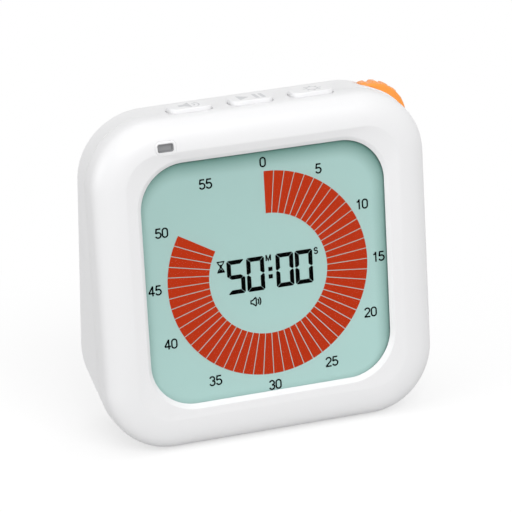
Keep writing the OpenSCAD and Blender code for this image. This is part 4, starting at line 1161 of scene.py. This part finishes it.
# Moulded epoxy is a dull near-black, fired ceramic a dry tan, and nylon a waxy ivory.
black_epoxy = moulded("black_epoxy", "#1D1D1F", 0.48, 1.55, 0.3, 0.006)
dress("controller_chip", black_epoxy)
dress("board_components", moulded("tan_ceramic", "#B89B72", 0.5, 1.6, 0.2, 0.003))
dress("indicator_led", led_body)
dress("wire_connectors", moulded("ivory_nylon", "#E6DFC8", 0.42, 1.53, 0.3, 0.004))


# ---- key board and encoder ----
# A narrow board under the keys carries three tactile switches with black plungers. The wheel
# turns a steel shaft in an encoder, which is soldered to a small board of its own.

dress("key_board", green_board)
dress("key_switches", black_epoxy)
# Black acetal: slightly greasy to the eye, a little glossier than the switch bodies.
plunger_black = moulded("plunger_black", "#242426", 0.4, 1.5, 0.25, 0.003)
for name in ("sound_plunger", "start_plunger", "light_plunger"):
    dress(name, plunger_black)
# Turned steel, with fine marks drawn out by the lathe.
dress("wheel_shaft", metal("turned_steel", "#B9BBBD", 0.28, 0.3, (1, 6, 1)))
dress("encoder_case", black_epoxy)
dress("encoder_board", green_board)


# ---- speaker ----
# A 20 mm speaker behind the grille: a stamped steel basket, a fibrous paper cone and a plated
# magnet cup.

# Stamped zinc-plated steel: a soft grey shine with faint marks of the press.
dress("speaker_frame", metal("stamped_steel", "#A9ABAC", 0.36, 1.1))


def paper_look():
    """Pressed black paper: matt, with short fibres that show as a fine uneven surface."""
    made, tree, spot = new_material("speaker_paper")
    fibre = node(
        tree, "ShaderNodeTexNoise",
        {"Vector": spot, "Scale": 1 / (0.6 * MM), "Detail": 5.0, "Roughness": 0.7},
    )
    bump = node(
        tree, "ShaderNodeBump", {"Height": fibre.outputs["Fac"], "Strength": 0.7, "Distance": 0.05 * MM}
    )
    shade = node(
        tree, "ShaderNodeMix", {0: fibre.outputs["Fac"], 6: linear("#17171A"), 7: linear("#37363A")},
        data_type="RGBA",
    )
    return finish(made, node(tree, "ShaderNodeBsdfPrincipled", {
        "Base Color": shade.outputs[2], "Roughness": 0.85, "Specular IOR Level": 0.2,
        "Normal": bump.outputs[0],
    }))


dress("speaker_cone", paper_look())
# Nickel plate on a drawn cup: brighter and warmer than the basket.
dress("speaker_magnet", metal("nickel_cup", "#B4B1A8", 0.24, 1.6))


# ---- batteries and their door ----
# Three cells lie side by side between springs and plates in the bay. The white door over them
# hooks in at its foot and snaps shut at its top, where a shallow scoop takes a fingertip.

sleeve_end, band_start = 21.55, 11.5


def cell_look():
    """A cell's plastic sleeve in plain grey with a blue end band, and bare metal at both ends."""
    made, tree, spot = new_material("cell_wrap")
    place = node(tree, "ShaderNodeSeparateXYZ", {0: spot})
    ends = node(tree, "ShaderNodeMath", {0: place.outputs["X"]}, operation="ABSOLUTE")
    bare = node(
        tree, "ShaderNodeMath", {0: ends.outputs[0], 1: sleeve_end * MM}, operation="GREATER_THAN"
    )
    band = node(
        tree, "ShaderNodeMath", {0: place.outputs["X"], 1: band_start * MM}, operation="GREATER_THAN"
    )
    sleeve = node(
        tree, "ShaderNodeMix", {0: band.outputs[0], 6: linear("#8F969B"), 7: linear("#2E5A78")},
        data_type="RGBA",
    )
    colour = node(
        tree, "ShaderNodeMix", {0: bare.outputs[0], 6: sleeve.outputs[2], 7: linear("#C4C3BE")},
        data_type="RGBA",
    )
    cloud = node(tree, "ShaderNodeTexNoise", {"Vector": spot, "Scale": 1 / (5 * MM), "Detail": 2.0})
    gloss = node(tree, "ShaderNodeMapRange", {0: cloud.outputs["Fac"], 3: 0.22, 4: 0.34})
    return finish(made, node(tree, "ShaderNodeBsdfPrincipled", {
        "Base Color": colour.outputs[2],
        "Metallic": bare.outputs[0], "Roughness": gloss.outputs[0], "IOR": 1.5,
    }))


dress("battery_cells", cell_look())
# Nickel plate on spring wire and strip: bright, slightly yellow, with fine rolling marks.
nickel = metal("nickel_plate", "#C9C6BD", 0.26, 0.7)
dress("cell_springs", nickel)
dress("cell_plates", nickel)
dress("battery_door", white_abs)


# ---- screws, feet and wiring ----
# Zinc-plated pan-head screws hold the shells and boards. Four grey rubber pads sit in the case's
# foot. Two-wire leads and flat ribbons join the boards.

# Zinc plate: a cold, fairly bright grey with fine marks.
zinc = metal("zinc_plate", "#BFC1C0", 0.3, 0.35)
for name in ("case_screws", "board_screws", "key_board_screws", "encoder_screws"):
    dress(name, zinc)
# Moulded rubber is dry and matt, and PVC has a soft waxy shine.
dress("foot_pads", moulded("grey_rubber", "#77797B", 0.78, 1.5, 0.5, 0.03))
lead_cover = moulded("lead_cover", "#B3262A", 0.42, 1.52, 0.4, 0.004)
dress("battery_leads", lead_cover)
dress("speaker_leads", lead_cover)
ribbon = striped("ribbon", ("#D9D8D2", "#A9ABAB"), 1.0, 0.5, 0.45, 1.5)
dress("key_ribbon", ribbon)
dress("encoder_ribbon", ribbon)

[[list(corner) for corner in box] for box in (cad_box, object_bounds())]
